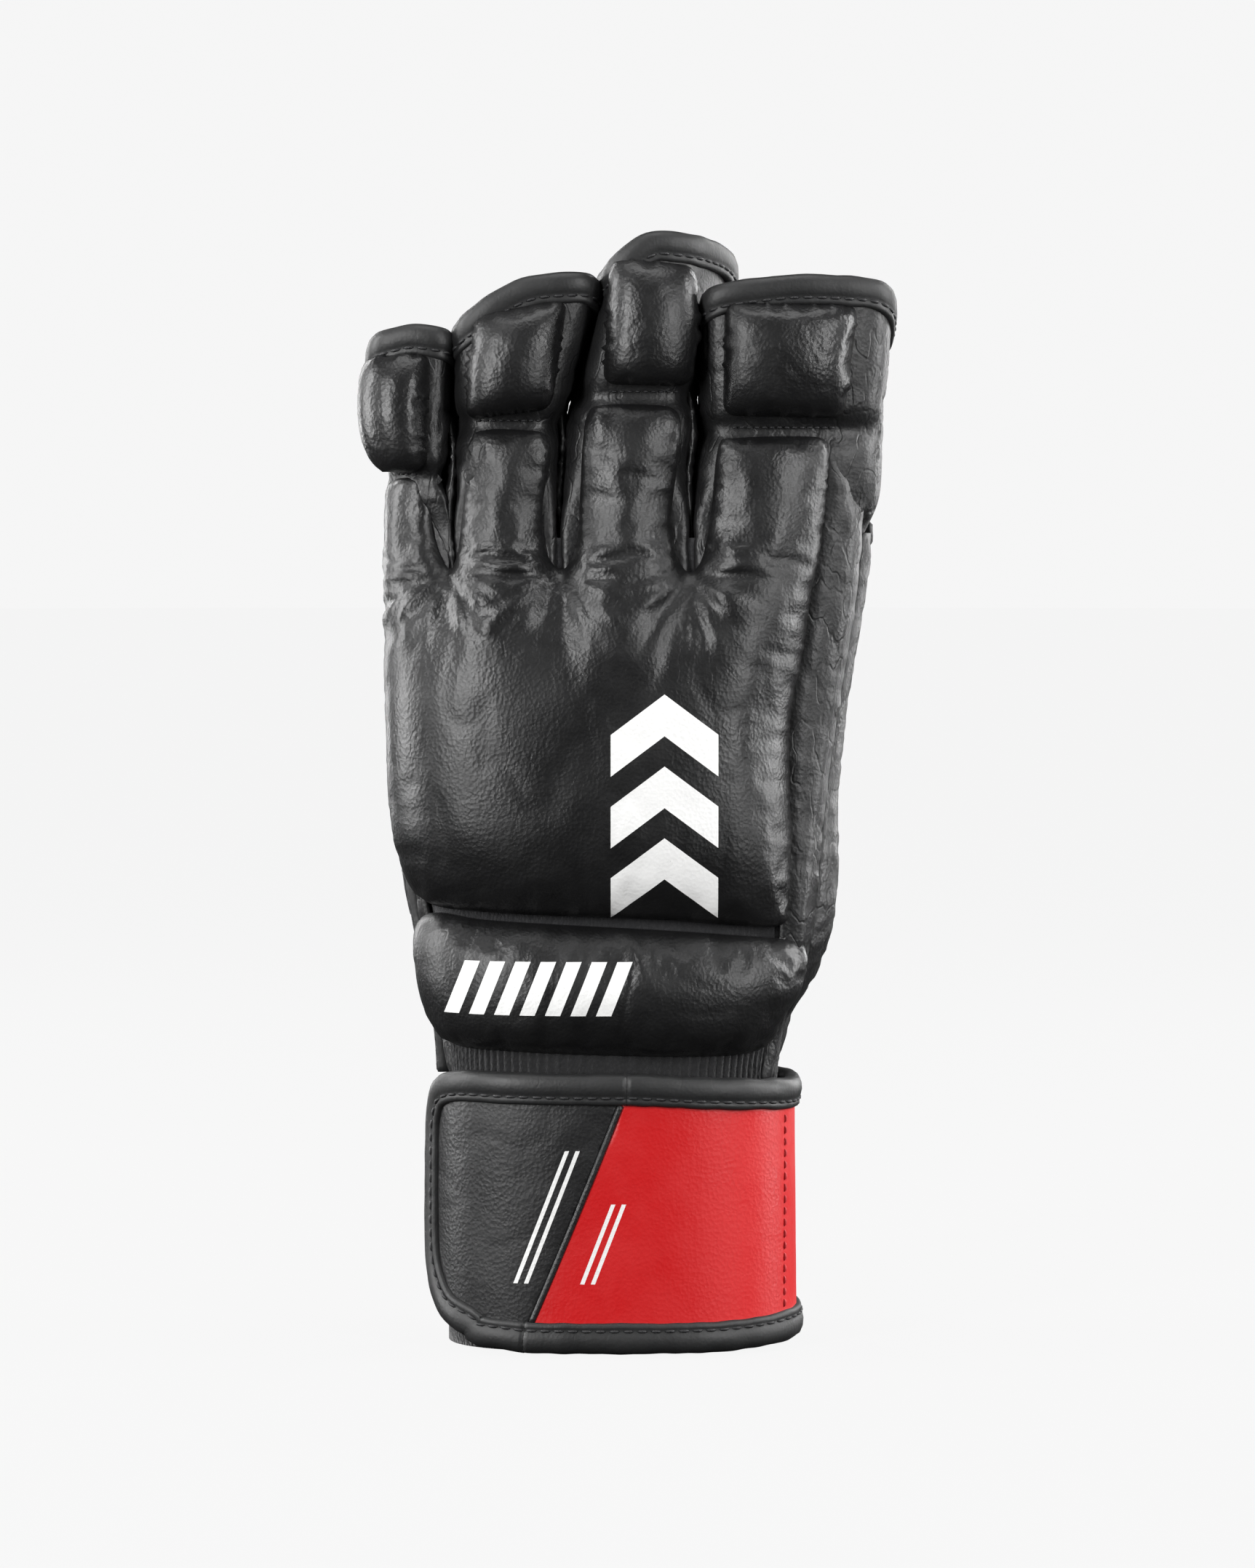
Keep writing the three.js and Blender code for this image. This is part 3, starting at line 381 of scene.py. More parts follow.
def relax(points, faces, pinned, grow=0.04, pressure=4.0, limit=1.6, frames=18, stiffness=12.0):
    """Cloth simulation of a sewn panel: its edges stay, its leather is a little too long, and air fills it.
    The panel is simulated at a tenth of a metre per centimetre, where the solver is well behaved."""
    scale = 0.01
    mesh = bpy.data.meshes.new("cloth")
    mesh.from_pydata((points * scale).tolist(), [], [list(map(int, f)) for f in faces])
    obj = bpy.data.objects.new("cloth", mesh)
    scene = bpy.context.scene
    scene.collection.objects.link(obj)
    group = obj.vertex_groups.new(name="pin")
    group.add([int(i) for i in np.flatnonzero(pinned)], 1.0, "REPLACE")
    cloth = obj.modifiers.new("Cloth", "CLOTH")
    settings = cloth.settings
    settings.quality = 6
    settings.mass = 0.3
    settings.air_damping = 6
    settings.tension_stiffness = stiffness
    settings.compression_stiffness = stiffness
    settings.shear_stiffness = stiffness / 2
    settings.bending_stiffness = 0.4
    settings.vertex_group_mass = "pin"
    settings.shrink_min = -grow
    settings.shrink_max = -grow
    settings.use_pressure = True
    settings.uniform_pressure_force = pressure
    settings.effector_weights.gravity = 0
    cloth.collision_settings.use_collision = False
    cloth.point_cache.frame_end = frames
    for f in range(1, frames + 1):
        scene.frame_set(f)
    done = obj.evaluated_get(bpy.context.evaluated_depsgraph_get())
    moved = np.zeros(len(points) * 3)
    done.data.vertices.foreach_get("co", moved)
    moved = moved.reshape(-1, 3) / scale
    scene.frame_set(1)
    bpy.data.objects.remove(obj)
    shift = moved - points
    shift = np.where(np.isfinite(shift), shift, 0)
    size = np.linalg.norm(shift, axis=1)
    capped = limit * np.tanh(size / limit)
    return points + shift * (capped / np.maximum(size, 1e-9))[:, None]


def crease(points, scale, seed, stretch=(1, 1, 1), sharp=0.12):
    """Depth of fine creases at each point, 1 in a crease: they follow the zero lines of a smooth noise."""
    offset = Vector((seed * 17.3, seed * 5.1, seed * 9.7))
    out = np.empty(len(points))
    for k, p in enumerate(points):
        q = Vector((p[0] * stretch[0], p[1] * stretch[1], p[2] * stretch[2])) * scale + offset
        out[k] = noise.noise(q + 0.5 * noise.noise_vector(q * 1.9))
    return np.exp(-((out / sharp) ** 2))


def swell(points, scale, seed):
    """Soft unevenness, about -1 to 1."""
    offset = Vector((seed * 3.7, seed * 11.9, seed * 7.3))
    return np.array([noise.noise(Vector(p) * scale + offset) for p in points])


def roughen(points, faces, amount, scale, seed, keep=None, sharp=0.12, stretch=(1, 1, 1)):
    """Pushes creases in and soft unevenness out, along the surface. keep scales it per point."""
    n = vertex_normals(points, faces)
    depth = -amount * crease(points, scale, seed, stretch, sharp) + 0.3 * amount * swell(points, scale * 0.6, seed)
    if keep is not None:
        depth = depth * keep
    return points + n * depth[:, None]


def grid_faces(rows, columns, closed=False):
    """Quads over a grid of points listed row by row."""
    across = columns if closed else columns - 1
    return [
        (j * columns + i, j * columns + (i + 1) % columns, (j + 1) * columns + (i + 1) % columns, (j + 1) * columns + i)
        for j in range(rows - 1)
        for i in range(across)
    ]


def sweep(path, out, profile, closed):
    """A solid bar along a path: the profile's first coordinate runs across the path, its second along out."""
    path, out = np.asarray(path), np.asarray(out)
    if closed:
        along = np.roll(path, -1, 0) - np.roll(path, 1, 0)
    else:
        along = np.gradient(path, axis=0)
    along /= np.linalg.norm(along, axis=1)[:, None]
    out = out - (out * along).sum(1)[:, None] * along
    out /= np.linalg.norm(out, axis=1)[:, None]
    across = np.cross(along, out)
    profile = np.asarray(profile, float)
    points = (path[:, None] + profile[None, :, :1] * across[:, None] + profile[None, :, 1:] * out[:, None])
    rows, columns = len(path), len(profile)
    faces = grid_faces(rows, columns, True)
    if closed:
        last = (rows - 1) * columns
        faces += [(last + i, last + (i + 1) % columns, (i + 1) % columns, i) for i in range(columns)]
    else:
        faces += [tuple(range(columns))[::-1], tuple(range((rows - 1) * columns, rows * columns))]
    return points.reshape(-1, 3), faces, across


def join_parts(parts):
    points, faces, start = [], [], 0
    for p, f in parts:
        points.append(p)
        faces += [tuple(int(i) + start for i in face) for face in f]
        start += len(p)
    return np.vstack(points), faces


def stitches(path, out, closed=False, pitch=3.1, length=2.4, radius=0.37):
    """Thread showing along a seam: one short rounded bar per stitch."""
    path = np.asarray(path, float)
    run = np.concatenate([[0], np.cumsum(np.linalg.norm(np.diff(path, axis=0), axis=1))])
    count = int(run[-1] // pitch)
    parts = []
    ring = [(radius * math.cos(a), radius * math.sin(a)) for a in np.linspace(0, 2 * math.pi, 6, endpoint=False)]
    for k in range(count):
        at = (k + 0.5) * run[-1] / count + np.linspace(-0.5, 0.5, 5) * length
        line = np.column_stack([np.interp(at, run, path[:, i]) for i in range(3)])
        face = np.column_stack([np.interp(at, run, out[:, i]) for i in range(3)])
        dip = np.array([-0.35, 0.05, 0.12, 0.05, -0.35])
        points, faces, _ = sweep(line + face * dip[:, None], face, ring, False)
        scale = np.repeat([0.6, 1, 1, 1, 0.6], 6)[:, None]
        centre = np.repeat(line + face * dip[:, None], 6, axis=0)
        parts.append((centre + (points - centre) * scale, faces))
    return parts


def add_stitches(name, parts, material, body):
    points, faces = join_parts(parts)
    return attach(mesh_object(name, points, faces, material), body)


def shell(outer, inner, faces):
    """A closed skin between two layers with the same faces. Also says which faces belong to the inner layer."""
    count = len(outer)
    faces = [tuple(int(i) for i in f) for f in faces]
    edges = {(f[k], f[(k + 1) % len(f)]) for f in faces for k in range(len(f))}
    inner_faces = [tuple(i + count for i in f[::-1]) for f in faces]
    walls = [(b, a, a + count, b + count) for a, b in sorted(edges) if (b, a) not in edges]
    which = np.arange(len(faces), len(faces) + len(inner_faces))
    return np.vstack([outer, inner]), faces + inner_faces + walls, which


def nearest(points, loop, closed=True):
    """Distance from each flat point to a line, and how far along the line its nearest point is."""
    ends = np.roll(loop, -1, 0) if closed else loop[1:]
    starts = loop if closed else loop[:-1]
    best, where, run = np.full(len(points), 1e9), np.zeros(len(points)), 0.0
    for a, b in zip(starts, ends):
        d = b - a
        length = np.linalg.norm(d)
        t = np.clip(((points - a) @ d) / max(length**2, 1e-12), 0, 1)
        far = np.linalg.norm(points - a - t[:, None] * d, axis=1)
        closer = far < best
        best, where = np.where(closer, far, best), np.where(closer, run + t * length, where)
        run += length
    return best, where


def pucker(flat, loop, amount, pitch, reach, seed, closed=True):
    """Small folds that run in from a seam, per point."""
    far, run = nearest(flat, loop, closed)
    folds = np.array([noise.noise(Vector((r / pitch, d / (4 * pitch), seed))) for r, d in zip(run, far)])
    return amount * folds * np.exp(-far / reach)


# ---------------------------------------------------------------- materials


class Shader:
    """A principled material with short ways to add nodes. Textures read the resting place of each point, in millimetres."""

    def __init__(self, name, slot):
        self.material = bpy.data.materials.new(name)
        self.material.use_nodes = True
        self.material["slot"] = slot
        self.tree = self.material.node_tree
        self.bsdf = self.tree.nodes["Principled BSDF"]
        rest = self.node("ShaderNodeAttribute")
        rest.attribute_name = "rest"
        self.rest = rest.outputs["Vector"]
        self.x, self.y, self.z = self.node("ShaderNodeSeparateXYZ", Vector=self.rest).outputs[:3]

    def node(self, kind, **inputs):
        made = self.tree.nodes.new(kind)
        for name, value in inputs.items():
            self.set(made, name, value)
        return made

    def set(self, node, name, value):
        socket = node.inputs[name] if not isinstance(name, int) else node.inputs[name]
        if isinstance(value, bpy.types.NodeSocket):
            self.tree.links.new(value, socket)
        else:
            socket.default_value = value

    def math(self, operation, a, b=0.0, c=0.0, clamp=False):
        made = self.tree.nodes.new("ShaderNodeMath")
        made.operation = operation
        made.use_clamp = clamp
        for k, value in enumerate((a, b, c)):
            self.set(made, k, value)
        return made.outputs[0]

    def noise(self, scale, detail=3.0, rough=0.55, vector=None):
        made = self.node("ShaderNodeTexNoise", Scale=scale, Detail=detail, Roughness=rough)
        self.set(made, "Vector", vector or self.rest)
        return made.outputs[0]

    def cells(self, scale, vector=None, feature="F1"):
        made = self.node("ShaderNodeTexVoronoi", Scale=scale)
        made.feature = feature
        self.set(made, "Vector", vector or self.rest)
        return made.outputs["Distance"]

    def stretched(self, x, y, z):
        made = self.node("ShaderNodeMapping", Vector=self.rest)
        made.inputs["Scale"].default_value = (x, y, z)
        return made.outputs[0]

    def ramp(self, value, low, high, to_low=0.0, to_high=1.0):
        made = self.node("ShaderNodeMapRange", Value=value)
        made.interpolation_type = "SMOOTHSTEP"
        for name, number in (("From Min", low), ("From Max", high), ("To Min", to_low), ("To Max", to_high)):
            made.inputs[name].default_value = number
        return made.outputs[0]

    def mix(self, share, a, b):
        made = self.node("ShaderNodeMix")
        made.data_type = "RGBA"
        self.set(made, 0, share)
        for socket, value in ((6, a), (7, b)):
            if isinstance(value, bpy.types.NodeSocket):
                self.tree.links.new(value, made.inputs[socket])
            else:
                made.inputs[socket].default_value = (*value, 1)
        return made.outputs[2]

    def bump(self, height, distance, strength=1.0):
        made = self.node("ShaderNodeBump", Strength=strength, Distance=distance, Height=height)
        self.tree.links.new(made.outputs[0], self.bsdf.inputs["Normal"])

    def finish(self, colour, roughness, **other):
        self.set(self.bsdf, "Base Color", colour)
        self.set(self.bsdf, "Roughness", roughness)
        for name, value in other.items():
            self.set(self.bsdf, name.replace("_", " "), value)
        return self.material


def line_work(s, scale, width, vector=None):
    """Thin wandering lines, 1 on a line."""
    field = s.noise(scale, 2.0, 0.5, vector)
    return s.ramp(s.math("ABSOLUTE", s.math("SUBTRACT", field, 0.5)), 0.0, width, 1.0, 0.0)


def leather(name, slot, dark, light, roughness=0.42, grain=1.0, creases=1.0, sheen=0.0, mark=None, coat=0.0):
    """Grained leather: pebbles a little under a millimetre, wandering creases with painted shade darkening their lines,
    patchy shine and paler worn ridges.
    """
    s = Shader(name, slot)
    wander = s.node("ShaderNodeVectorMath")
    wander.operation = "ADD"
    s.set(wander, 0, s.rest)
    drift = s.node("ShaderNodeTexNoise", Scale=0.35, Detail=2.0)
    s.set(drift, "Vector", s.rest)
    s.set(wander, 1, drift.outputs["Color"])
    pebbles = s.cells(1.15, wander.outputs[0])
    fine = s.noise(3.2, 4.0, 0.6)
    broad = s.noise(0.07, 3.0, 0.6)
    wrinkles = line_work(s, 0.16, 0.035, s.stretched(1, 1, 0.55))
    height = s.math("MULTIPLY_ADD", pebbles, 0.55 * grain, s.math("MULTIPLY", fine, 0.3 * grain))
    height = s.math("SUBTRACT", height, s.math("MULTIPLY", wrinkles, 0.35 * creases))
    s.bump(height, 0.00016, 0.7)
    geometry = s.node("ShaderNodeNewGeometry")
    ridge = s.ramp(geometry.outputs["Pointiness"], 0.53, 0.66)
    tone = s.math("MULTIPLY_ADD", broad, 0.7, s.math("MULTIPLY", fine, 0.35), clamp=True)
    colour = s.mix(tone, dark, light)
    colour = s.mix(s.math("MULTIPLY", ridge, 0.5), colour, tuple(min(1, c * 1.5 + 0.004) for c in light))
    # Painted shade: the colour is darkened along the crease lines, standing in for the shade inside the creases.
    colour = s.mix(s.math("MULTIPLY", wrinkles, 0.25 * creases), colour, tuple(c * 0.4 for c in dark))
    rough = s.math("ADD", s.ramp(broad, 0.3, 0.7, roughness - 0.05, roughness + 0.07),
                   s.math("MULTIPLY", fine, 0.08))
    if mark:
        printed = s.math("MULTIPLY", mark(s), s.ramp(s.noise(1.3, 5.0, 0.7), 0.2, 0.34))
        colour = s.mix(printed, colour, (0.86, 0.86, 0.85))
        rough = s.math("MAXIMUM", rough, s.math("MULTIPLY", printed, 0.5))
    extra = {"Specular IOR Level": 0.5}
    s.finish(colour, rough)
    s.bsdf.inputs["Specular IOR Level"].default_value = extra["Specular IOR Level"]
    s.bsdf.inputs["Sheen Weight"].default_value = sheen
    s.bsdf.inputs["Coat Weight"].default_value = coat
    s.bsdf.inputs["Coat Roughness"].default_value = 0.18
    return s.material


def within(s, value, low, high):
    return s.math("MULTIPLY", s.math("GREATER_THAN", value, low), s.math("LESS_THAN", value, high))


def repeat(s, value, start, pitch, share):
    """Bars along a value: 1 for the given share of each pitch."""
    return s.math("LESS_THAN", s.math("FRACT", s.math("DIVIDE", s.math("SUBTRACT", value, start), pitch)), share)


def chevrons(s):
    """Three plain chevrons one above the other, on the back of the hand."""
    middle, half, low, pitch, share, slope, count = 11.5, 12.0, 107.0, 16.0, 0.58, 0.75, 3
    aside = s.math("ABSOLUTE", s.math("SUBTRACT", s.x, middle))
    level = s.math("MULTIPLY_ADD", aside, slope, s.z)
    shape = s.math("MULTIPLY", repeat(s, level, low, pitch, share), within(s, level, low, low + count * pitch))
    return s.math("MULTIPLY", shape, s.math("LESS_THAN", aside, half))


def slanted_bars(s):
    """A row of plain slanted bars, on the wrist roll."""
    left, right, low, high, pitch, share, lean = -38.0, 2.0, 76.5, 88.5, 5.7, 0.6, 0.4
    run = s.math("SUBTRACT", s.x, s.math("MULTIPLY", s.math("SUBTRACT", s.z, low), lean))
    shape = s.math("MULTIPLY", repeat(s, run, left, pitch, share), within(s, run, left, left + 7 * pitch))
    return s.math("MULTIPLY", shape, within(s, s.z, low, high))


def strap_lines(offset, low, high):
    """Two thin lines along the diagonal seam of the strap, on the back only."""

    def mark(s):
        slope = (SEAM_TOP[0] - SEAM_BOTTOM[0]) / (SEAM_TOP[1] - SEAM_BOTTOM[1])
        aside = s.math("SUBTRACT", s.x, s.math("MULTIPLY_ADD", s.z, slope, SEAM_BOTTOM[0] - slope * SEAM_BOTTOM[1]))
        lines = s.math("MULTIPLY", repeat(s, aside, offset, 2.4, 0.4), within(s, aside, offset, offset + 4.8))
        place = s.math("MULTIPLY", within(s, s.z, low, high), s.math("LESS_THAN", s.y, 0.0))
        return s.math("MULTIPLY", lines, place)

    return mark


def cloth(name, slot, colour, thread=0.9, rib=0.0):
    """Plain knitted lining; rib is not used."""
    s = Shader(name, slot)
    weave = s.math("ADD", s.noise(thread, 2.0), s.cells(1.6, s.stretched(1, 1, 0.6)))
    s.bump(weave, 0.0003, 0.8)
    shade = s.mix(s.noise(0.3, 3.0), colour, tuple(c * 2.0 + 0.004 for c in colour))
    s.finish(shade, s.ramp(weave, 0.3, 1.3, 0.8, 0.95))
    s.bsdf.inputs["Sheen Weight"].default_value = 0.25
    s.bsdf.inputs["Sheen Roughness"].default_value = 0.5
    return s.material


def fuzz(name, slot, colour):
    """Brushed loop pile."""
    s = Shader(name, slot)
    pile = s.math("ADD", s.noise(2.4, 6.0, 0.8), s.cells(2.2))
    s.bump(pile, 0.0006, 1.0)
    s.finish(s.mix(pile, colour, tuple(c * 2 for c in colour)), 0.95)
    s.bsdf.inputs["Specular IOR Level"].default_value = 0.15
    s.bsdf.inputs["Sheen Weight"].default_value = 0.05
    return s.material


def thread(name, colour):
    """Twisted sewing thread."""
    s = Shader(name, "textile")
    twist = s.noise(6.0, 2.0)
    s.bump(twist, 0.0001, 0.8)
    s.finish(s.mix(twist, colour, tuple(c * 1.6 + 0.01 for c in colour)), 0.55)
    return s.material


SEAM_BOTTOM, SEAM_TOP = (-16.9, 8.2), (0.9, 54.2)

BACK = leather("back_leather", "black_leather", (0.0045, 0.0045, 0.0048), (0.009, 0.009, 0.0093), 0.32, 1.0, 0.35, mark=chevrons)
ROLL = leather("roll_leather", "black_leather", (0.0045, 0.0045, 0.0048), (0.009, 0.009, 0.0093), 0.34, 1.0, 0.5, mark=slanted_bars)
PALM = leather("palm_leather", "black_leather", (0.005, 0.005, 0.0053), (0.01, 0.01, 0.0104), 0.38, creases=1.6)
BINDING = leather("binding_leather", "binding", (0.010, 0.0102, 0.0105), (0.016, 0.0162, 0.0165), 0.46, 0.5, 0.3)
TIP = leather("tip_leather", "black_leather", (0.009, 0.009, 0.0095), (0.015, 0.015, 0.0155), 0.38, 1.3, 0.2,
              mark=strap_lines(-8.5, 16, 46))
RED = leather("red_leather", "red_leather", (0.52, 0.005, 0.007), (0.60, 0.008, 0.009), 0.4, 0.7, 0.1,
              mark=strap_lines(6.5, 16, 34))
GLOSS = leather("red_bar_leather", "red_leather", (0.52, 0.004, 0.006), (0.60, 0.007, 0.009), 0.3, 0.25, 0.1, coat=0.15)
GREY = leather("grey_leather", "grey_leather", (0.085, 0.085, 0.087), (0.13, 0.13, 0.133), 0.4, 1.3, 0.4, sheen=0.1)
LINING = cloth("lining_cloth", "textile", (0.006, 0.006, 0.007))
KNIT = cloth("ribbed_knit", "textile", (0.004, 0.004, 0.0045), 1.2)
NET = cloth("air_mesh", "mesh", (0.005, 0.005, 0.0055), 2.0)
LOOP = fuzz("loop_pile", "hook_and_loop", (0.004, 0.004, 0.0045))
HOOK = fuzz("hook_tape", "hook_and_loop", (0.01, 0.01, 0.011))
BLACK_THREAD = thread("black_thread", (0.006, 0.006, 0.007))
RED_THREAD = thread("red_thread", (0.35, 0.01, 0.015))


def place(name, points, faces, material, body, stands_for=(), second=None, second_faces=None):
    """Adds a piece. Body is a name, or a tuple (first body, second body, start, end) for a piece that spans two bodies:
    such a piece is not attached to either and only has its transform baked.
    """
    obj = mesh_object(name, points, faces, material, second=second, second_faces=second_faces)
    if isinstance(body, str):
        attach(obj, body)
    else:
        first, other, start, end = body
        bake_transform(obj)
    if stands_for:
        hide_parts(*stands_for)
    return obj


# ---------------------------------------------------------------- padded back


def line(*points):
    return np.array(points, float)


def smooth_loop(values, times):
    """Evens out a closed ring of values or points, along its first axis."""
    for _ in range(times):
        values = (np.roll(values, 1, 0) + 2 * values + np.roll(values, -1, 0)) / 4
    return values


PAD_EDGE_ANGLE = 181
PAD_RIGHT = [(37, 95.8), (39.4, 99), (40, 112), (39.8, 122), (40, 143), (42.6, 156), (44.5, 170), (47, 183), (48.7, 199)]
PAD_TOP = [
    (47.8, 204.6), (43, 205.8), (28, 205.4), (23.8, 203.8), (22.2, 191), (21.2, 184), (19.8, 178), (17.3, 175.2),
    (14.7, 178), (13.4, 184), (13.2, 190), (15.2, 206.5), (14, 211.6), (9, 212.8), (-2, 212.8), (-5.6, 211),
    (-6.8, 204), (-7.4, 192), (-7.8, 184), (-9.2, 178.4), (-11.7, 175.8), (-14.4, 178.6), (-15.8, 184),
    (-15.6, 192), (-14, 202), (-15.4, 206.2), (-20, 207.2), (-29, 207.2), (-32, 205), (-33, 196), (-34, 186),
    (-34.8, 179.5), (-36.5, 175.8), (-38.5, 178.4), (-40.4, 184), (-41.2, 191), (-43.2, 196.4), (-47.5, 196.6),
]
PAD_BOTTOM = [(-41, 100.2), (-30, 99), (-10, 98.2), (12, 97.4), (28, 96)]
SLIT_ENDS = [(17.3, 175.2), (-11.7, 175.8), (-36.5, 175.8)]


def edge_of_back(z):
    """Where the padding stops on the little finger's side, along the back."""
    return [(u, h) for u, h in zip(u_at_angle("back", PAD_EDGE_ANGLE, z), z)]


def to_back(points):
    return [tuple(p) for p in unroll("back", points)]


def back_outline():
    side = edge_of_back(np.array([193.0, 180, 160, 140, 120, 110]))
    corner = edge_of_back(np.array([104.0]))
    return curve(to_back(PAD_RIGHT) + to_back(PAD_TOP) + side + corner + to_back(PAD_BOTTOM), 1.3)


def valley(flat, start, run, width):
    """Depth of the valley that runs down from the end of a slit, 0 to 1."""
    u, z = flat[:, 0] - start[0], start[1] - flat[:, 1]
    along = np.clip(1 - np.clip(z, 0, None) / run, 0, 1) * (z > -8)
    spread = width * (1 + 0.8 * np.clip(z, 0, None) / run)
    return along**1.3 * np.exp(-((u / spread) ** 2))


def back_pad():
    outline = back_outline()
    flat, faces, edge = fill(outline, 1.3)
    full = pillow(flat, faces, edge, 15, 0.6)
    lobes = smoothstep(flat[:, 1], 165, 190)
    rise = 12.5 - 2.5 * lobes - 2.0 * smoothstep(flat[:, 1], 120, 98)
    ends = unroll("back", SLIT_ENDS)
    for end in ends:
        rise = rise * (1 - 0.5 * valley(flat, end, 30, 4.2))
    height = 0.6 + rise * full
    height += pucker(flat, outline, 0.55, 3.6, 5, 1.5) * (1 - edge)
    for k, end in enumerate(ends):
        away = flat - end
        far = np.hypot(*away.T)
        turn = np.degrees(np.arctan2(away[:, 0], -away[:, 1]))
        folds = np.array([noise.noise(Vector((t / 9, r / 16, 5.0 * k))) for t, r in zip(turn, far)])
        height += 1.5 * folds * np.exp(-(((far - 9) / 9) ** 2)) * (away[:, 1] < 6) * (1 - edge)
    points = wrap("back", flat[:, 0], flat[:, 1], height)
    points = relax(points, faces, edge, grow=0.012, pressure=1.2, limit=1.1)
    points = roughen(points, faces, 0.28, 0.06, 3, keep=1 - np.exp(-full * 2), stretch=(1, 1, 0.5))
    under = wrap("back", flat[:, 0], flat[:, 1], -0.6)
    closed, all_faces, inner = shell(points, under, faces)
    place("back_pad", closed, all_faces, BACK, "hand", ["back_pad_cover", "back_pad_foam"])


ROLL_LINE = [(30, 93.6), (12, 95), (-10.4, 96.2), (-30, 97.2), (-40, 98.2)]
ROLL_LOW = [(-36.4, 68.6), (-20, 67.6), (0, 67), (18, 66.6), (29, 66.8)]
ROLL_END = [(330, 68.2), (334, 71.5), (336.5, 77), (336, 83), (332.5, 88.5), (325, 92)]


def wrist_roll():
    side = edge_of_back(np.array([95.0, 88, 79, 73]))
    end = [(u_at_angle("back", angle, [z])[0], z) for angle, z in ROLL_END]
    outline = curve(to_back(ROLL_LINE) + side + to_back(ROLL_LOW) + end, 1.2)
    flat, faces, edge = fill(outline, 1.2)
    full = pillow(flat, faces, edge, 9, 0.62)
    height = 0.6 + 9.5 * full + pucker(flat, outline, 0.7, 4.0, 4.5, 7.5) * (1 - edge)
    right_end = smoothstep(flat[:, 0], outline[:, 0].max() - 16, outline[:, 0].max() - 2)
    folds = crease(np.column_stack([flat[:, 0] * 0.4, flat[:, 1], flat[:, 0] * 0]), 0.2, 4, sharp=0.16)
    height -= 1.0 * right_end * folds * full
    points = wrap("back", flat[:, 0], flat[:, 1], height)
    points = relax(points, faces, edge, grow=0.02, pressure=1.5, limit=1.0)
    points = roughen(points, faces, 0.25, 0.08, 9, keep=full)
    under = wrap("back", flat[:, 0], flat[:, 1], -0.6)
    closed, all_faces, inner = shell(points, under, faces)
    place("wrist_roll", closed, all_faces, ROLL, "hand", ["wrist_roll_cover", "wrist_roll_foam"])


# ---------------------------------------------------------------- fingers

# Corners of each stall's cross-section going round from the back's little side: z, then x and y of the four corners.
FINGERS = {
    "index": {
        "base": (17.9, None), "fold": 207,
        "corners": [
            (200, 18.3, -17.5, 60.2, -12, 60.7, 12, 18.3, 19), (212, 19.4, -17.5, 60.8, -13, 60.8, 13, 19.4, 17),
            (225, 20, -18, 62, -14, 62, 12, 21, 6), (242, 20.4, -18, 63, -15, 62, 11, 24, -3),
        ],
        "rim": (239.5, 242, 241, 235, 229.5, 231, 233, 235),
        "pad": [(24.6, 210.4), (52, 209.8), (55.2, 235.2), (25, 236)],
    },
    "middle": {
        "base": (-11.9, 17.3), "fold": 215,
        "corners": [
            (200, -11.4, -17.5, 17.2, -17.5, 17.2, 19, -11.4, 19), (212, -9.6, -17, 18.2, -17, 18.2, 18, -9.6, 18),
            (220, -7, -16.5, 18.8, -16, 19.6, 18, -7.2, 18), (228, -4.6, -16, 19, -15, 23, 18, -5, 17),
            (240, -1.7, -15, 18.5, -13, 29, 17, -2.5, 16), (252, -0.8, -14, 18, -12, 34, 16, -1.5, 15),
        ],
        "rim": (244.5, 252, 251, 249, 243, 239, 239.5, 241),
        "pad": [(-2.4, 217.4), (18, 217), (19.4, 244), (-0.4, 246)],
    },
    "ring": {
        "base": (-35.9, -12.5), "fold": 208.5,
        "corners": [
            (200, -35.6, -17.5, -12.4, -17.5, -12.4, 19, -35.6, 18.5), (212, -35.6, -16.5, -10.8, -16.5, -10.8, 18, -35.6, 17),
            (220, -35.6, -16, -8.4, -16, -8.4, 18, -35.8, 16), (228, -35.4, -15, -5.9, -16, -6.2, 17, -36, 15),
            (242, -35, -12, -2.6, -15, -3, 15, -36, 12),
        ],
        "rim": (232, 241.8, 242.6, 237, 227, 223.5, 222.5, 226),
        "pad": [(-33.4, 209.4), (-13.6, 211.8), (-10.2, 236.6), (-31.2, 233)],
    },
    "little": {
        "base": (None, -36.7), "fold": 196.5,
        "corners": [
            (190, -49.5, -13, -37, -17, -36.9, 18, -49.5, 13), (200, -50.8, -12, -37.2, -16.5, -37.2, 16, -50.8, 12),
            (212, -54, -11, -37, -15, -37, 14, -54, 9), (230, -54, -9, -36.4, -12, -36.6, 10, -54, 6),
        ],
        "rim": (228.8, 231, 229.6, 226, 221, 214.5, 221, 225),
        "pad": [(-57.5, 198), (-41.2, 197.6), (-41, 224.6), (-57.5, 223.8)],
    },
}
SIDE = 24
STALL_LOW = 170.0
OUTER_CORNER = 38


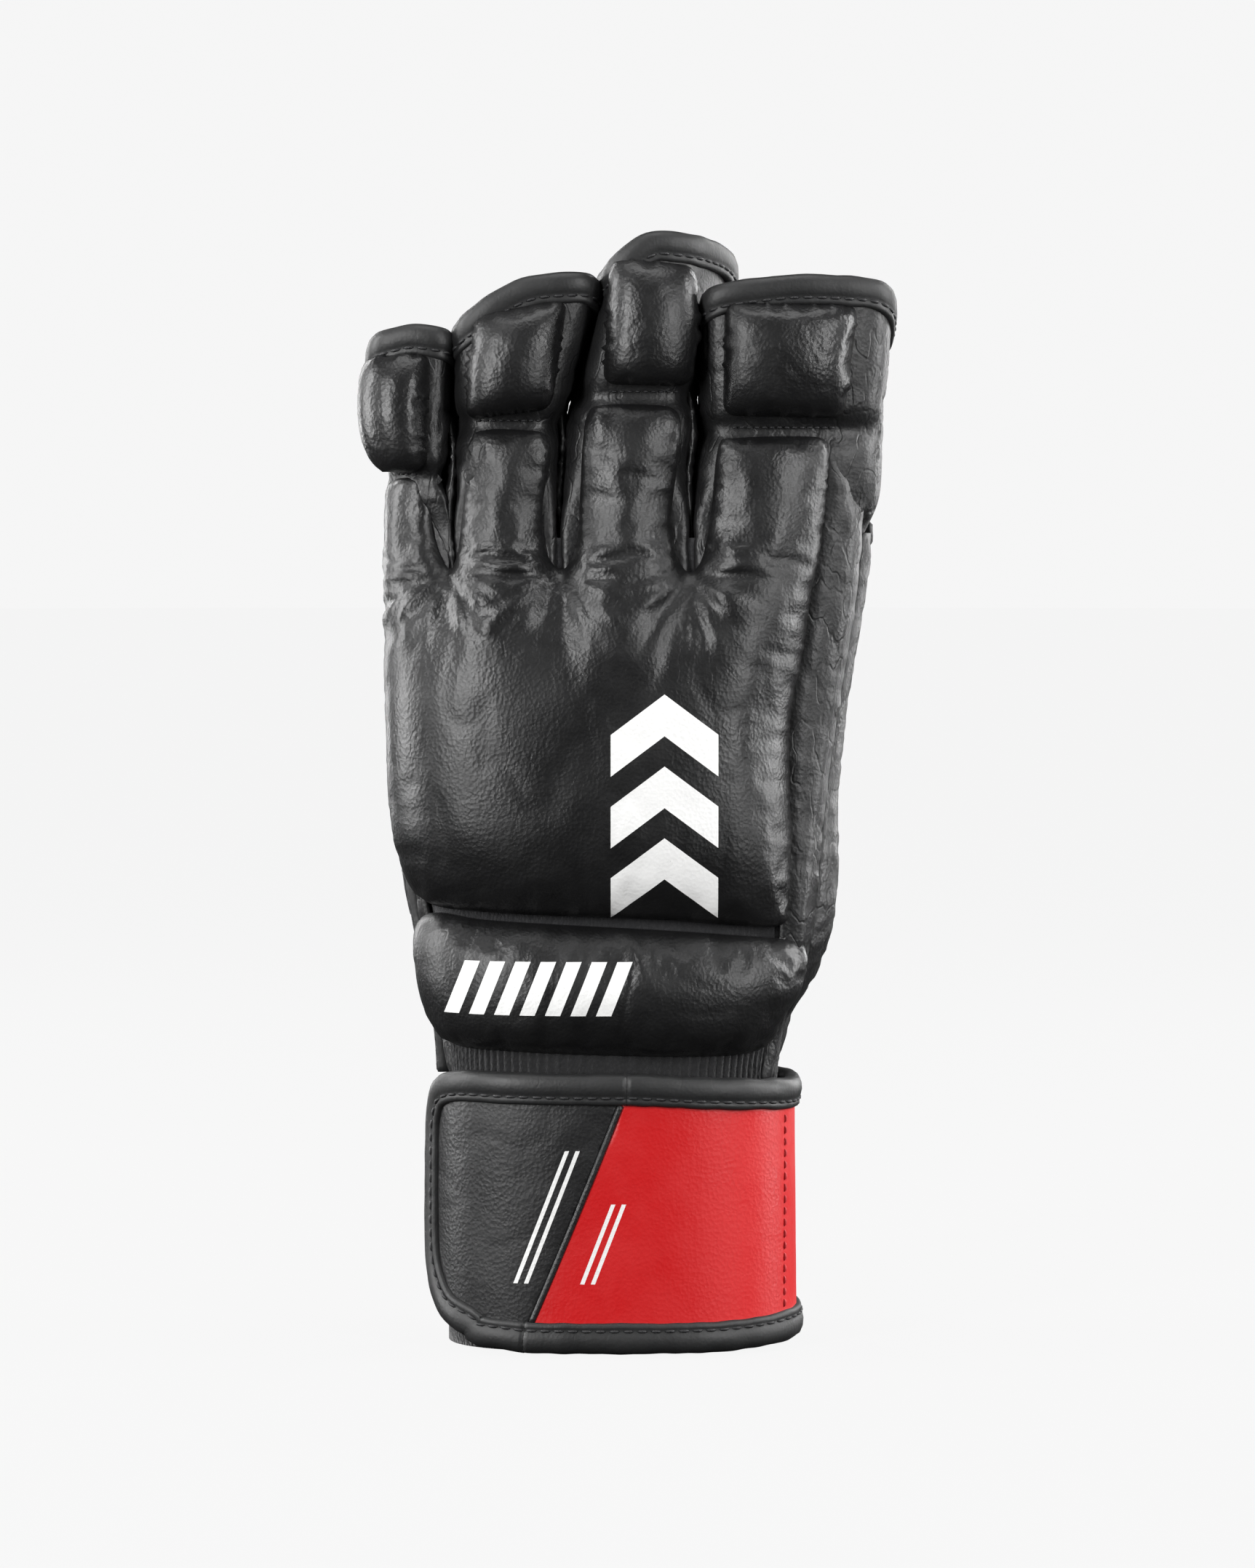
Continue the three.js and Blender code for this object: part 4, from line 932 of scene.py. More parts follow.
def base_ring(finger, z):
    """Cross-section of a stall where it leaves the hand, cut out of the hand's own outline."""
    left, right = FINGERS[finger]["base"]
    t = np.linspace(0, 1, SIDE, endpoint=False)
    back_left = float(angle_at_x([left], [z])[0]) if left is not None else 180 + OUTER_CORNER
    back_right = float(angle_at_x([right], [z])[0]) if right is not None else 360 - OUTER_CORNER
    palm_left, palm_right = 360 - back_left, 360 - back_right
    proud = -3.0 + 4.2 * float(smoothstep(z, 173, 196))
    back = at_angle(back_left + (back_right - back_left) * t, z)[:, :2]
    palm = at_angle(palm_right + (palm_left - palm_right) * t, z, 0.4 * proud)[:, :2]
    if right is None:
        right_wall = at_angle(360 - OUTER_CORNER + 2 * OUTER_CORNER * t, z, proud)[:, :2]
    else:
        right_wall = at_angle(back_right, z)[:, :2] + t[:, None] * (palm[:1] - at_angle(back_right, z)[:, :2])
    if left is None:
        left_wall = at_angle(180 - OUTER_CORNER + 2 * OUTER_CORNER * t, z, proud)[:, :2]
    else:
        left_wall = at_angle(palm_left, z)[:, :2] + t[:, None] * (back[:1] - at_angle(palm_left, z)[:, :2])
    return np.vstack([back, right_wall, palm, left_wall])


def quad_ring(finger, z):
    """Cross-section of a stall further up: four sides that bow out a little, with round corners."""
    corners = smooth_table(np.array([z]), np.array(FINGERS[finger]["corners"], float))[0].reshape(4, 2)
    t = np.linspace(0, 1, SIDE, endpoint=False)[:, None]
    middle = corners.mean(0)
    sides = []
    for a, b in zip(corners, np.roll(corners, -1, 0)):
        along = b - a
        out = np.array([along[1], -along[0]]) / np.linalg.norm(along)
        out *= np.sign(out @ ((a + b) / 2 - middle))
        sides.append(a + t * along + out * 0.9 * np.sin(np.pi * t))
    return smooth_loop(np.vstack(sides), 42)


def stall_ring(finger, z):
    share = float(smoothstep(z, 184, 201))
    return (1 - share) * smooth_loop(base_ring(finger, z), 2) + share * quad_ring(finger, z)


def rim_heights(finger):
    """Height of the stall's edge all round, under the middle of its binding."""
    keys = np.array(FINGERS[finger]["rim"], float) - 3.3
    columns = 4 * SIDE
    at = np.arange(columns) / (SIDE / 2)
    return smooth_loop(np.interp(at, np.arange(9), np.append(keys, keys[0])), 12)


def stall_grid(finger, rows):
    """Rows of points from the hand to the rim."""
    top = rim_heights(finger)
    columns = 4 * SIDE
    heights = STALL_LOW + np.linspace(0, 1, rows)[:, None] * (top - STALL_LOW)
    samples = np.arange(STALL_LOW, top.max() + 2, 1.0)
    rings = np.array([stall_ring(finger, z) for z in samples])
    points = np.empty((rows, columns, 3))
    for i in range(columns):
        for k in range(2):
            points[:, i, k] = np.interp(heights[:, i], samples, rings[:, i, k])
    points[:, :, 2] = heights
    return points


def fingers():
    for seed, (finger, spec) in enumerate(FINGERS.items()):
        rows, columns = 72, 4 * SIDE
        grid = stall_grid(finger, rows)
        points = grid.reshape(-1, 3)
        faces = grid_faces(rows, columns, True)
        n = vertex_normals(points, faces)
        if (n[:, :2] * (points[:, :2] - points[:, :2].mean(0))).sum() < 0:
            faces = [f[::-1] for f in faces]
            n = -n
        fold = spec["fold"]
        on_back = smoothstep(-points[:, 1], 4, 12)
        on_palm = smoothstep(points[:, 1], 0, 10)
        pinch = np.exp(-(((points[:, 2] - fold) / 3.2) ** 2)) * on_back * 2.0
        points = points - n * pinch[:, None]
        near_rim = smoothstep(np.tile(rim_heights(finger), rows) - points[:, 2], 2, 12)
        body = 0.35 + 0.65 * np.maximum(on_palm, 1 - on_back)
        points = roughen(points, faces, 0.75, 0.07, 20 + seed, keep=near_rim * body, sharp=0.1, stretch=(0.8, 0.7, 1.2))
        points = roughen(points, faces, 0.3, 0.17, 40 + seed, keep=near_rim * body, sharp=0.1, stretch=(1, 1, 1.3))
        inner = points - vertex_normals(points, faces) * 1.5
        closed, all_faces, lining = shell(points, inner, faces)
        centre = points[:, 0].mean()
        bend = ("hand", finger, (centre, 6, fold - 12), (centre, 6, fold + 6))
        place(f"{finger}_stall_leather", closed, all_faces, PALM, bend, [f"{finger}_stall"], LINING, lining)
        rim = points.reshape(rows, columns, 3)[-1]
        around = np.roll(rim, -1, 0) - np.roll(rim, 1, 0)
        out = np.column_stack([around[:, 1], -around[:, 0], 0 * around[:, 0]])
        out /= np.linalg.norm(out, axis=1)[:, None]
        out *= np.sign((out * (rim - rim.mean(0))).sum())
        bind(f"{finger}_rim_binding", rim - out * 0.75, out, (0, 0, -1), True, finger, [f"{finger}_binding"])
        finger_pad(finger, seed)
        groove_stitches(finger, bend)


def on_stall(finger, along, z, h):
    """Points h outside a stall's surface: along is measured round it, and equals x at the middle of its pad."""
    pad = np.array(FINGERS[finger]["pad"], float)
    middle = pad[:, 0].mean()
    levels = np.arange(z.min() - 1, z.max() + 2, 1.0)
    xs, ys, runs = [], [], []
    for level in levels:
        ring = stall_ring(finger, level)
        start = int(np.argmin(np.abs(ring[:SIDE, 0] - middle)))
        ring = np.roll(ring, 2 * SIDE - start, 0)
        run = np.concatenate([[0], np.cumsum(np.linalg.norm(np.diff(ring, axis=0), axis=1))])
        offset = np.interp(middle, ring[2 * SIDE - 2:2 * SIDE + 3, 0], run[2 * SIDE - 2:2 * SIDE + 3])
        xs.append(ring[:, 0])
        ys.append(ring[:, 1])
        runs.append(run - offset)
    level = np.clip(z - levels[0], 0, len(levels) - 1.001)
    low, share = level.astype(int), level % 1

    def read(distance):
        out = np.empty((len(z), 2))
        for k in range(len(z)):
            i = low[k]
            for c, column in enumerate((xs, ys)):
                first = np.interp(distance[k], runs[i], column[i])
                second = np.interp(distance[k], runs[i + 1], column[i + 1])
                out[k, c] = first * (1 - share[k]) + second * share[k]
        return out

    distance = along - middle
    at, ahead = read(distance - 0.8), read(distance + 0.8)
    along_ring = (ahead - at) / np.linalg.norm(ahead - at, axis=1)[:, None]
    out = np.column_stack([along_ring[:, 1], -along_ring[:, 0]])
    flat = (at + ahead) / 2 + out * h[:, None]
    return np.column_stack([flat, z])


def finger_pad(finger, seed):
    outline = polygon(FINGERS[finger]["pad"], 0.8, 3.4)
    flat, faces, edge = fill(outline, 0.8)
    full = pillow(flat, faces, edge, 4.0, 0.55)
    middle = flat.mean(0)
    width = np.ptp(outline[:, 0])
    crown = 1 - 0.12 * ((flat[:, 0] - middle[0]) / (width / 2)) ** 2 - 0.1 * ((flat[:, 1] - middle[1]) / 13) ** 2
    rise = 0.2 + 7.4 * full * crown + pucker(flat, outline, 0.35, 2.6, 3, 11 + seed) * (1 - edge)
    points = on_stall(finger, flat[:, 0], flat[:, 1], rise)
    points = relax(points, faces, edge, grow=0.01, pressure=1.5, limit=0.5)
    points = roughen(points, faces, 0.12, 0.14, 60 + seed, keep=full)
    back = on_stall(finger, flat[:, 0], flat[:, 1], rise * 0 - 1.2)
    closed, all_faces, _ = shell(points, back, faces)
    place(f"{finger}_pad", closed, all_faces, BACK, finger, [f"{finger}_pad_cover", f"{finger}_pad_foam"])


def groove_stitches(finger, bend):
    """Stitches across the back of a stall, in the fold under its pad."""
    left, right = np.array(FINGERS[finger]["pad"], float)[[0, 1], 0]
    along = np.linspace(left + 1.5, right - 1.5, 30)
    z = np.full(30, FINGERS[finger]["fold"] + 0.8)
    path = on_stall(finger, along, z, 0 * z - 1.4)
    out = path - on_stall(finger, along, z, 0 * z - 2.4)
    made, faces = join_parts(stitches(path, out, pitch=1.7, length=1.1, radius=0.22))
    place(f"{finger}_groove_stitches", made, faces, BLACK_THREAD, bend)


# ---------------------------------------------------------------- bindings

# Folded edge tape seen end on: across the tape, then out from the leather. The groove holds the stitches.
TAPE = [
    (-3.4, -1.5), (-3.7, -0.6), (-3.6, 0.6), (-3.0, 1.5), (-1.8, 2.0), (-0.4, 2.1), (0.9, 1.8), (1.6, 1.35),
    (2.1, 1.55), (2.8, 1.55), (3.3, 1.1), (3.3, -1.1), (2.2, -1.6), (0.2, -1.8), (-2.0, -2.0),
]
TAPE_GROOVE = (1.6, 1.5)


def bind(name, path, out, inward, closed, body, stands_for=(), size=1.0, seam=BLACK_THREAD):
    """Edge tape along a path, its stitched side towards inward, and its stitches as their own piece."""
    path, out = np.asarray(path, float), np.array(out, float)
    out /= np.linalg.norm(out, axis=1)[:, None]
    _, _, across = sweep(path, out, [(0, 0), (1, 0), (0, 1)], closed)
    turned = np.sign((across * np.asarray(inward, float)).sum())
    profile = np.array([(a * turned * size, b * size) for a, b in TAPE])
    points, faces, across = sweep(path, out, profile, closed)
    points = roughen_tape(points, len(profile), path)
    place(name, points, faces, BINDING, body, stands_for)
    line_path = path + across * turned * TAPE_GROOVE[0] * size + out * TAPE_GROOVE[1] * size
    if closed:
        line_path, out = np.vstack([line_path, line_path[:1]]), np.vstack([out, out[:1]])
    parts = stitches(line_path, out)
    stitch_points, stitch_faces = join_parts(parts)
    place(name + "_stitches", stitch_points, stitch_faces, seam, body)


def roughen_tape(points, per_ring, path):
    """Slight waver of a hand-turned tape."""
    rings = points.reshape(-1, per_ring, 3)
    middle = rings.mean(1, keepdims=True)
    scale = np.array([1 + 0.07 * noise.noise(Vector(m[0]) * 0.22) for m in middle])[:, None, None]
    return (middle + (rings - middle) * scale).reshape(-1, 3)


# ---------------------------------------------------------------- sides and palm

THUMB_LINE = line((35.6, 60), (36.8, 66), (42.5, 84), (45.4, 100), (46.6, 112), (48, 125), (52, 152), (54.7, 169.5),
                  (56, 184), (56, 190), (54.7, 197), (50.6, 203.8))
LITTLE_SEAM = 158
PALM_TOP = 184
NOTCH_TIP = (174, 107)
NOTCH_LINE = [(-42.6, 100), (-37.6, 91), (-29, 77), (-22, 66), (-19, 60.5)]
WINDOW = [(3, 148), (-33, 148), (-37, 118), (-31, 90), (-14, 88), (3, 92)]
THUMB_BASE = (26.0, 114.0, 17.0, 35.0)
BAND_LOW, BAND_HIGH = 154.5, 186.5
BAND_END = 12
BEND_WRIST = ("cuff", "hand", (0, 0, 60), (0, 0, 72))


def thumb_edge(z, side="palm"):
    """Distance along a side to the seam beside the thumb, at each height."""
    z = np.asarray(z, float)
    x = np.interp(z, THUMB_LINE[:, 1], THUMB_LINE[:, 0])
    angles = angle_at_x(x, z)
    return np.array([u_at_angle(side, a, [h])[0] for a, h in zip(angles, z)])


def oval(centre_x, centre_z, half_x, half_z, count=90, power=2.2):
    turn = np.linspace(0, 2 * math.pi, count, endpoint=False)
    c, s = np.cos(turn), np.sin(turn)
    x = centre_x + half_x * np.sign(c) * np.abs(c) ** (2 / power)
    return np.column_stack([x, centre_z + half_z * np.sign(s) * np.abs(s) ** (2 / power)])


def window_outline(margin):
    """Outline of the mesh window on the palm, grown by a margin."""
    loop = polygon(WINDOW, 1.4, 15)
    middle = loop.mean(0)
    out = loop - middle
    return unroll("palm", middle + out * (1 + margin / np.linalg.norm(out, axis=1))[:, None])


def thumb_outline(margin):
    x, z, rx, rz = THUMB_BASE
    return unroll("palm", oval(x, z, rx + margin, rz + margin))


def skin(name, side, flat, faces, height, depth, material, body, stands_for=(), lining=None, **wrinkles):
    """A leather panel lying on one side of the glove, with its own thickness."""
    if side == "palm":
        faces = faces[:, ::-1]
    points = wrap(side, flat[:, 0], flat[:, 1], height)
    for amount, scale, seed, keep, stretch in wrinkles.get("folds", ()):
        points = roughen(points, faces, amount, scale, seed, keep=keep, stretch=stretch)
    inner = points - vertex_normals(points, faces) * depth
    closed, all_faces, inside_faces = shell(points, inner, faces)
    place(name, closed, all_faces, material, body, stands_for, lining, inside_faces if lining else None)
    return points


def palm_panel():
    heights = np.array([60.5, 66, 75, 84, 92, 100, 112, 125, 140, 152, 169.5, PALM_TOP])
    thumb_side = list(zip(thumb_edge(heights), heights))
    rise = np.array([PALM_TOP, 170, 155, 140, 125, 112])
    little_side = [(u, z) for u, z in zip(u_at_angle("palm", LITTLE_SEAM, rise), rise)]
    tip = [(float(u_at_angle("palm", NOTCH_TIP[0], [NOTCH_TIP[1]])[0]), NOTCH_TIP[1])]
    notch = [tuple(p) for p in unroll("palm", NOTCH_LINE)]
    outline = polygon(thumb_side + little_side + tip + notch, 1.5, 1.5)
    holes = [window_outline(0), thumb_outline(-2)]
    flat, faces, edge = fill(outline, 1.5, holes)
    far = distance_to(flat, outline)
    near_thumb = np.exp(-np.maximum(distance_to(flat, thumb_outline(3)) - 3, 0) / 9)
    heel = smoothstep(flat[:, 1], 104, 80)
    keep = smoothstep(far, 0, 6) * (0.3 + 0.7 * np.maximum(near_thumb, heel))
    height = 0.35 + 1.2 * smoothstep(far, 0, 9) + pucker(flat, outline, 0.5, 4, 5, 31) * (1 - edge)
    folds = [(0.6, 0.07, 71, keep, (0.8, 1, 1.5)), (0.22, 0.2, 72, smoothstep(far, 0, 5), (1, 1, 1.3))]
    skin("palm_leather", "palm", flat, faces, height, 1.3, PALM, BEND_WRIST, ["palm_panel"], LINING, folds=folds)


def side_panels():
    right = [(x, z) for x, z in THUMB_LINE]
    left = [(46, 202), (44.5, 183), (42, 170), (40, 156), (37.5, 143), (37.5, 120), (37.5, 99), (36.5, 85), (35, 70), (33, 60)]
    flat, faces, edge = fill(polygon(to_back(right + left), 1.3, 1.5), 1.3)
    far = distance_to(flat, polygon(to_back(right + left), 1.3, 1.5))
    junction = np.exp(-(((flat[:, 1] - 92) / 16) ** 2))
    height = 0.5 + 1.6 * smoothstep(far, 0, 5) + pucker(flat, unroll("back", THUMB_LINE), 0.5, 4, 4, 33, False)
    keep = smoothstep(far, 0, 4) * (0.45 + 0.55 * junction)
    folds = [(0.65, 0.08, 73, keep, (1.2, 1, 0.8)), (0.15, 0.22, 74, smoothstep(far, 0, 4), (1, 1, 0.7))]
    skin("thumb_side_strip", "back", flat, faces, height, 1.3, PALM, "hand", ["thumb_side_gusset"], LINING, folds=folds)

    heights = np.array([60.5, 75, 90, 104, 108, 125, 150, 175, 198])
    inner_angle = np.where(heights < 105, 177, LITTLE_SEAM)
    palm_edge = [(u_at_angle("little", a, [z])[0], z) for a, z in zip(inner_angle, heights)]
    back_edge = [(u_at_angle("little", 193, [z])[0], z) for z in heights[::-1]]
    outline = polygon(palm_edge + back_edge, 1.3, 1.5)
    flat, faces, edge = fill(outline, 1.3)
    far = distance_to(flat, outline)
    keep = smoothstep(far, 0, 4)
    folds = [(0.5, 0.08, 75, keep, (1, 1, 1.2)), (0.15, 0.22, 76, keep, (1, 1, 1))]
    skin("little_side_strip", "little", flat, faces, 0.4 + 1.2 * keep, 1.3, PALM, "hand", ["little_side_gusset"],
         LINING, folds=folds)


def seam_stitches(name, side, flat_path, height, body="hand", seam=BLACK_THREAD, closed=False):
    """Stitches along a line drawn on one side of the glove."""
    path = np.vstack([flat_path, flat_path[:1]]) if closed else np.asarray(flat_path, float)
    path = resample(path, 1.0, False)
    points = wrap(side, path[:, 0], path[:, 1], height)
    out = normals_at(side, path[:, 0], path[:, 1])
    made, faces = join_parts(stitches(points, out, pitch=2.7, length=1.9, radius=0.28))
    place(name, made, faces, seam, body)


def flat_ring(name, outer, inner, height, crown, body, stands_for):
    """A leather ring lying on the palm round an opening; its stitches are made separately."""
    flat, faces, edge = fill(outer, 1.1, [inner])
    far = np.minimum(distance_to(flat, outer), distance_to(flat, inner))
    rise = height + crown * smoothstep(far, 0, 1.6)
    skin(name, "palm", flat, faces, rise, 1.0, PALM, body, stands_for, folds=[(0.15, 0.3, 81, smoothstep(far, 0, 2), (1, 1, 1))])


def between(first, second, share):
    count = 240
    a, b = (resample(np.vstack([p, p[:1]]), np.linalg.norm(np.diff(p, axis=0), axis=1).sum() / count, True)
            for p in (first, second))
    n = min(len(a), len(b))
    return a[:n] * (1 - share) + b[:n] * share


def openings():
    window, window_out = window_outline(-0.6), window_outline(5.4)
    flat_ring("mesh_window_rim", window_out, window, 1.6, 0.7, "hand", ["mesh_rim"])
    for k, margin in enumerate((0.8, 4.2)):
        seam_stitches(f"window_stitches_{k}", "palm", window_outline(margin), 2.35, closed=True)
    flat_ring("thumb_base_ring", thumb_outline(4.6), thumb_outline(-1.5), 1.5, 0.7, "hand", ["thumb_ring"])
    for k, margin in enumerate((1.6, 4.0)):
        seam_stitches(f"thumb_base_stitches_{k}", "palm", thumb_outline(margin), 2.2, closed=True)
    net()


def net():
    """Air mesh: oval holes in brick rows, each in its own six-sided cell."""
    pitch_x, pitch_z, hole_x, hole_z, count = 3.0, 3.6, 0.85, 1.45, 12
    window = window_outline(3.0)
    low, high = window.min(0), window.max(0)
    turn = np.linspace(0, 2 * math.pi, count, endpoint=False)
    hole = np.column_stack([hole_x * np.cos(turn), hole_z * np.sin(turn)])
    corners = [(pitch_x / 2, pitch_z / 6), (0, pitch_z / 2 + pitch_z / 6 - 0.0), (-pitch_x / 2, pitch_z / 6),
               (-pitch_x / 2, -pitch_z / 6), (0, -pitch_z / 2 - pitch_z / 6 + 0.0), (pitch_x / 2, -pitch_z / 6)]
    row_pitch = pitch_z * 5 / 6
    corners = [(x, z * row_pitch / pitch_z * 6 / 5 if x else np.sign(z) * (row_pitch - pitch_z / 6)) for x, z in corners]
    rim = []
    for a, b in zip(corners, corners[1:] + corners[:1]):
        rim += [a, ((a[0] + b[0]) / 2, (a[1] + b[1]) / 2)]
    rim = np.array(rim)
    flat, faces, index = [], [], {}
    for j, z in enumerate(np.arange(low[1], high[1], row_pitch)):
        for x in np.arange(low[0], high[0], pitch_x) + (pitch_x / 2 if j % 2 else 0):
            if not inside(np.array([[x, z]]), window)[0]:
                continue
            loops = []
            for p in rim + (x, z):
                key = (round(p[0] / 0.05), round(p[1] / 0.05))
                if key not in index:
                    index[key] = len(flat)
                    flat.append(p)
                loops.append(index[key])
            first = len(flat)
            flat += list(hole + (x, z))
            for k in range(count):
                faces.append((loops[k], loops[(k + 1) % count], first + (k + 1) % count, first + k))
    flat = np.array(flat)
    height = 0.5 - 0.9 * np.cos(np.clip((flat[:, 0] - low[0]) / (high[0] - low[0]), 0, 1) * 2 * math.pi)
    points = wrap("palm", flat[:, 0], flat[:, 1], 0.3 + 0.0 * height)
    inner = wrap("palm", flat[:, 0], flat[:, 1], -0.4)
    closed, all_faces, _ = shell(points, inner, [f[::-1] for f in faces])
    place("air_mesh_panel", closed, all_faces, NET, "hand", ["mesh_window"])


def grip():
    heights = np.linspace(BAND_LOW, BAND_HIGH, 8)
    thumb_side = list(zip(u_at_angle("palm", BAND_END, heights), heights))
    little_side = [(u_at_angle("palm", LITTLE_SEAM, [z])[0], z) for z in heights[::-1]]
    outline = polygon(thumb_side + little_side, 1.3, 1.5)
    flat, faces, edge = fill(outline, 1.3)
    far = distance_to(flat, outline)
    bar = unroll("palm", [(54, 172.8), (0, 171.2), (-45, 169)])
    beside = distance_to(flat, bar, False)
    height = 2.0 + 0.7 * smoothstep(far, 0, 2.5) - 0.8 * np.exp(-(((beside - 8) / 1.2) ** 2))
    height += 0.5 * np.exp(-(((beside - 10.5) / 1.6) ** 2))
    folds = [(0.35, 0.12, 84, smoothstep(far, 0, 3), (0.6, 1, 1.4))]
    skin("grip_band_leather", "palm", flat, faces, height, 1.3, PALM, "hand", ["grip_band"], folds=folds)
    span = [u_at_angle("palm", BAND_END, [z])[0] - 1 for z in (184.8, 159.0, 156.6)]
    end = [u_at_angle("palm", LITTLE_SEAM, [z])[0] + 1 for z in (184.8, 159.0, 156.6)]
    for k, z in enumerate((184.8, 159.0, 156.6)):
        seam_stitches(f"band_stitches_{k}", "palm", [(span[k], z), (end[k], z)], 2.75)
    for k, z in enumerate((180.6, 161.4)):
        path = unroll("palm", [(50, z + 0.8), (0, z - 0.6), (-44, z - 2.8)])
        seam_stitches(f"bar_stitches_{k}", "palm", path, 2.55)
    across = unroll("palm", [(-46, 177.6), (-46, 160.0)])
    seam_stitches("bar_stitches_end", "palm", across, 2.55)
    grip_bar()


def grip_bar():
    """The stuffed bar across the palm: half-round, standing on the band, closed at both ends."""
    start, stop = u_at_x("palm", [51.5], [172.0])[0], u_at_x("palm", [-43.4], [169.0])[0]
    rows, columns, half, proud, round_off = 120, 24, 7.8, 5.4, 3.0
    u = np.linspace(start, stop, rows)
    middle = np.interp(u, [stop, start], [169.0, 172.8])
    from_end = np.minimum(np.abs(u - start), np.abs(u - stop))
    fade = np.sqrt(np.clip(1 - (1 - np.clip(from_end / round_off, 0, 1)) ** 2, 0.02, 1))
    turn = np.linspace(0, math.pi, columns)
    across = half * np.sign(np.cos(turn)) * np.abs(np.cos(turn)) ** 0.75
    rise = np.sin(turn) ** 0.75
    wide = 0.86 + 0.14 * fade
    z = middle[:, None] + across[None] * wide[:, None]
    h = 1.9 + proud * fade[:, None] * rise[None]
    grid_u = np.repeat(u, columns)
    points = wrap("palm", grid_u, z.ravel(), h.ravel())
    faces = grid_faces(rows, columns)
    n = vertex_normals(points, np.array(faces))
    if n[:, 1].mean() < 0:
        faces = [f[::-1] for f in faces]
    points = roughen(points, np.array(faces), 0.22, 0.09, 86, keep=np.tile(rise, rows), stretch=(0.5, 1, 1))
    under = wrap("palm", grid_u, z.ravel(), 1.6)
    closed, all_faces, _ = shell(points, under, faces)
    place("grip_bar_leather", closed, all_faces, GLOSS, "hand", ["grip_bar_cover", "grip_bar_core"])


def notch():
    """Bindings along both edges of the slit at the wrist, meeting at its tip."""
    tip = at_angle(NOTCH_TIP[0], NOTCH_TIP[1] + 1, 1.4)[0]
    palm_line = curve(unroll("palm", NOTCH_LINE), 1.2, False)
    path = np.vstack([[tip], wrap("palm", palm_line[:, 0], palm_line[:, 1], 1.9)])
    out = np.vstack([at_angle(NOTCH_TIP[0], NOTCH_TIP[1], 1) - at_angle(NOTCH_TIP[0], NOTCH_TIP[1]),
                     normals_at("palm", palm_line[:, 0], palm_line[:, 1])])
    path, out = curve(path, 1.2, False), resample(out, np.linalg.norm(np.diff(out, axis=0), axis=1).sum() / len(path), False)
    out = np.column_stack([np.interp(np.linspace(0, 1, len(path)), np.linspace(0, 1, len(out)), c) for c in out.T])
    bind("wrist_slit_edge_palm", path, out, (1, 0, 0.6), False, BEND_WRIST, ["wrist_slit_binding_palm"], 1.2)
    z = np.linspace(NOTCH_TIP[1], 61, 34)
    angle = 176 + 1.5 * np.sin(np.linspace(0, math.pi, 34))
    path = at_angle(angle, z, 1.5)
    out = at_angle(angle, z, 1.0) - at_angle(angle, z, 0.0)
    bind("wrist_slit_edge_back", path, out, (0, -1, 0), False, BEND_WRIST, ["wrist_slit_binding_back"], 1.05)


def lining():
    """Textile inside the hand, open where the mesh window is, and seen in the slit at the wrist."""
    columns, rows = 150, 84
    angle = np.tile(np.linspace(0, 360, columns, endpoint=False), rows)
    z = np.repeat(np.linspace(60, 183, rows), columns)
    outer = at_angle(angle, z, -1.4)
    inner = at_angle(angle, z, -2.4)
    faces = np.array(grid_faces(rows, columns, True))
    middle = outer[faces].mean(1)
    hole = polygon(WINDOW, 1.5, 15)
    opening = (middle[:, 1] > 0) & inside(middle[:, [0, 2]], hole)
    x, centre_z, rx, rz = THUMB_BASE
    opening |= (middle[:, 1] > 0) & (((middle[:, 0] - x) / rx) ** 2 + ((middle[:, 2] - centre_z) / rz) ** 2 < 0.8)
    closed, all_faces, _ = shell(outer, inner, faces[~opening])
    place("hand_lining", closed, all_faces, LINING, BEND_WRIST, ["back_lining", "wrist_slit_gore"])


PALM_SLITS = (188, 188.5, 188)


def webs():
    """Soft leather walls between two fingers, from the back of the hand through to the palm."""
    walls = [("middle_index", "index", 223), ("ring_middle", "ring", 214), ("little_ring", "little", 213)]
    for seed, ((x, low), (name, finger, top)) in enumerate(zip(SLIT_ENDS, walls)):
        z = np.linspace(low - 5, top, 44)
        share = (z - z[0]) / (z[-1] - z[0])
        path = np.column_stack([np.full(44, x) + 0.5 * np.sin(0.25 * z + seed), 0 * z - 1 + 3 * share, z])
        turn = np.linspace(0, 2 * math.pi, 40, endpoint=False)
        c, s_ = np.cos(turn), np.sin(turn)
        profile = np.column_stack([13.5 * np.sign(c) * np.abs(c) ** 0.7, 1.7 * s_])
        points, faces, _ = sweep(path, np.tile([1.0, 0, 0], (44, 1)), profile, False)
        close = np.repeat(np.sqrt(np.clip(1 - share**6, 0.02, 1)), 40)[:, None]
        centre = np.repeat(path, 40, axis=0)
        points = centre + (points - centre) * close
        quads = np.array([f for f in faces if len(f) == 4])
        points = roughen(points, quads, 0.5, 0.25, 90 + seed, stretch=(0.6, 1.2, 1.4))
        fold = FINGERS[finger]["fold"]
        bend = ("hand", finger, (x, 6, fold - 12), (x, 6, fold + 6))
        place(f"web_{name}", points, faces, PALM, bend, [f"slit_wall_{name}"])


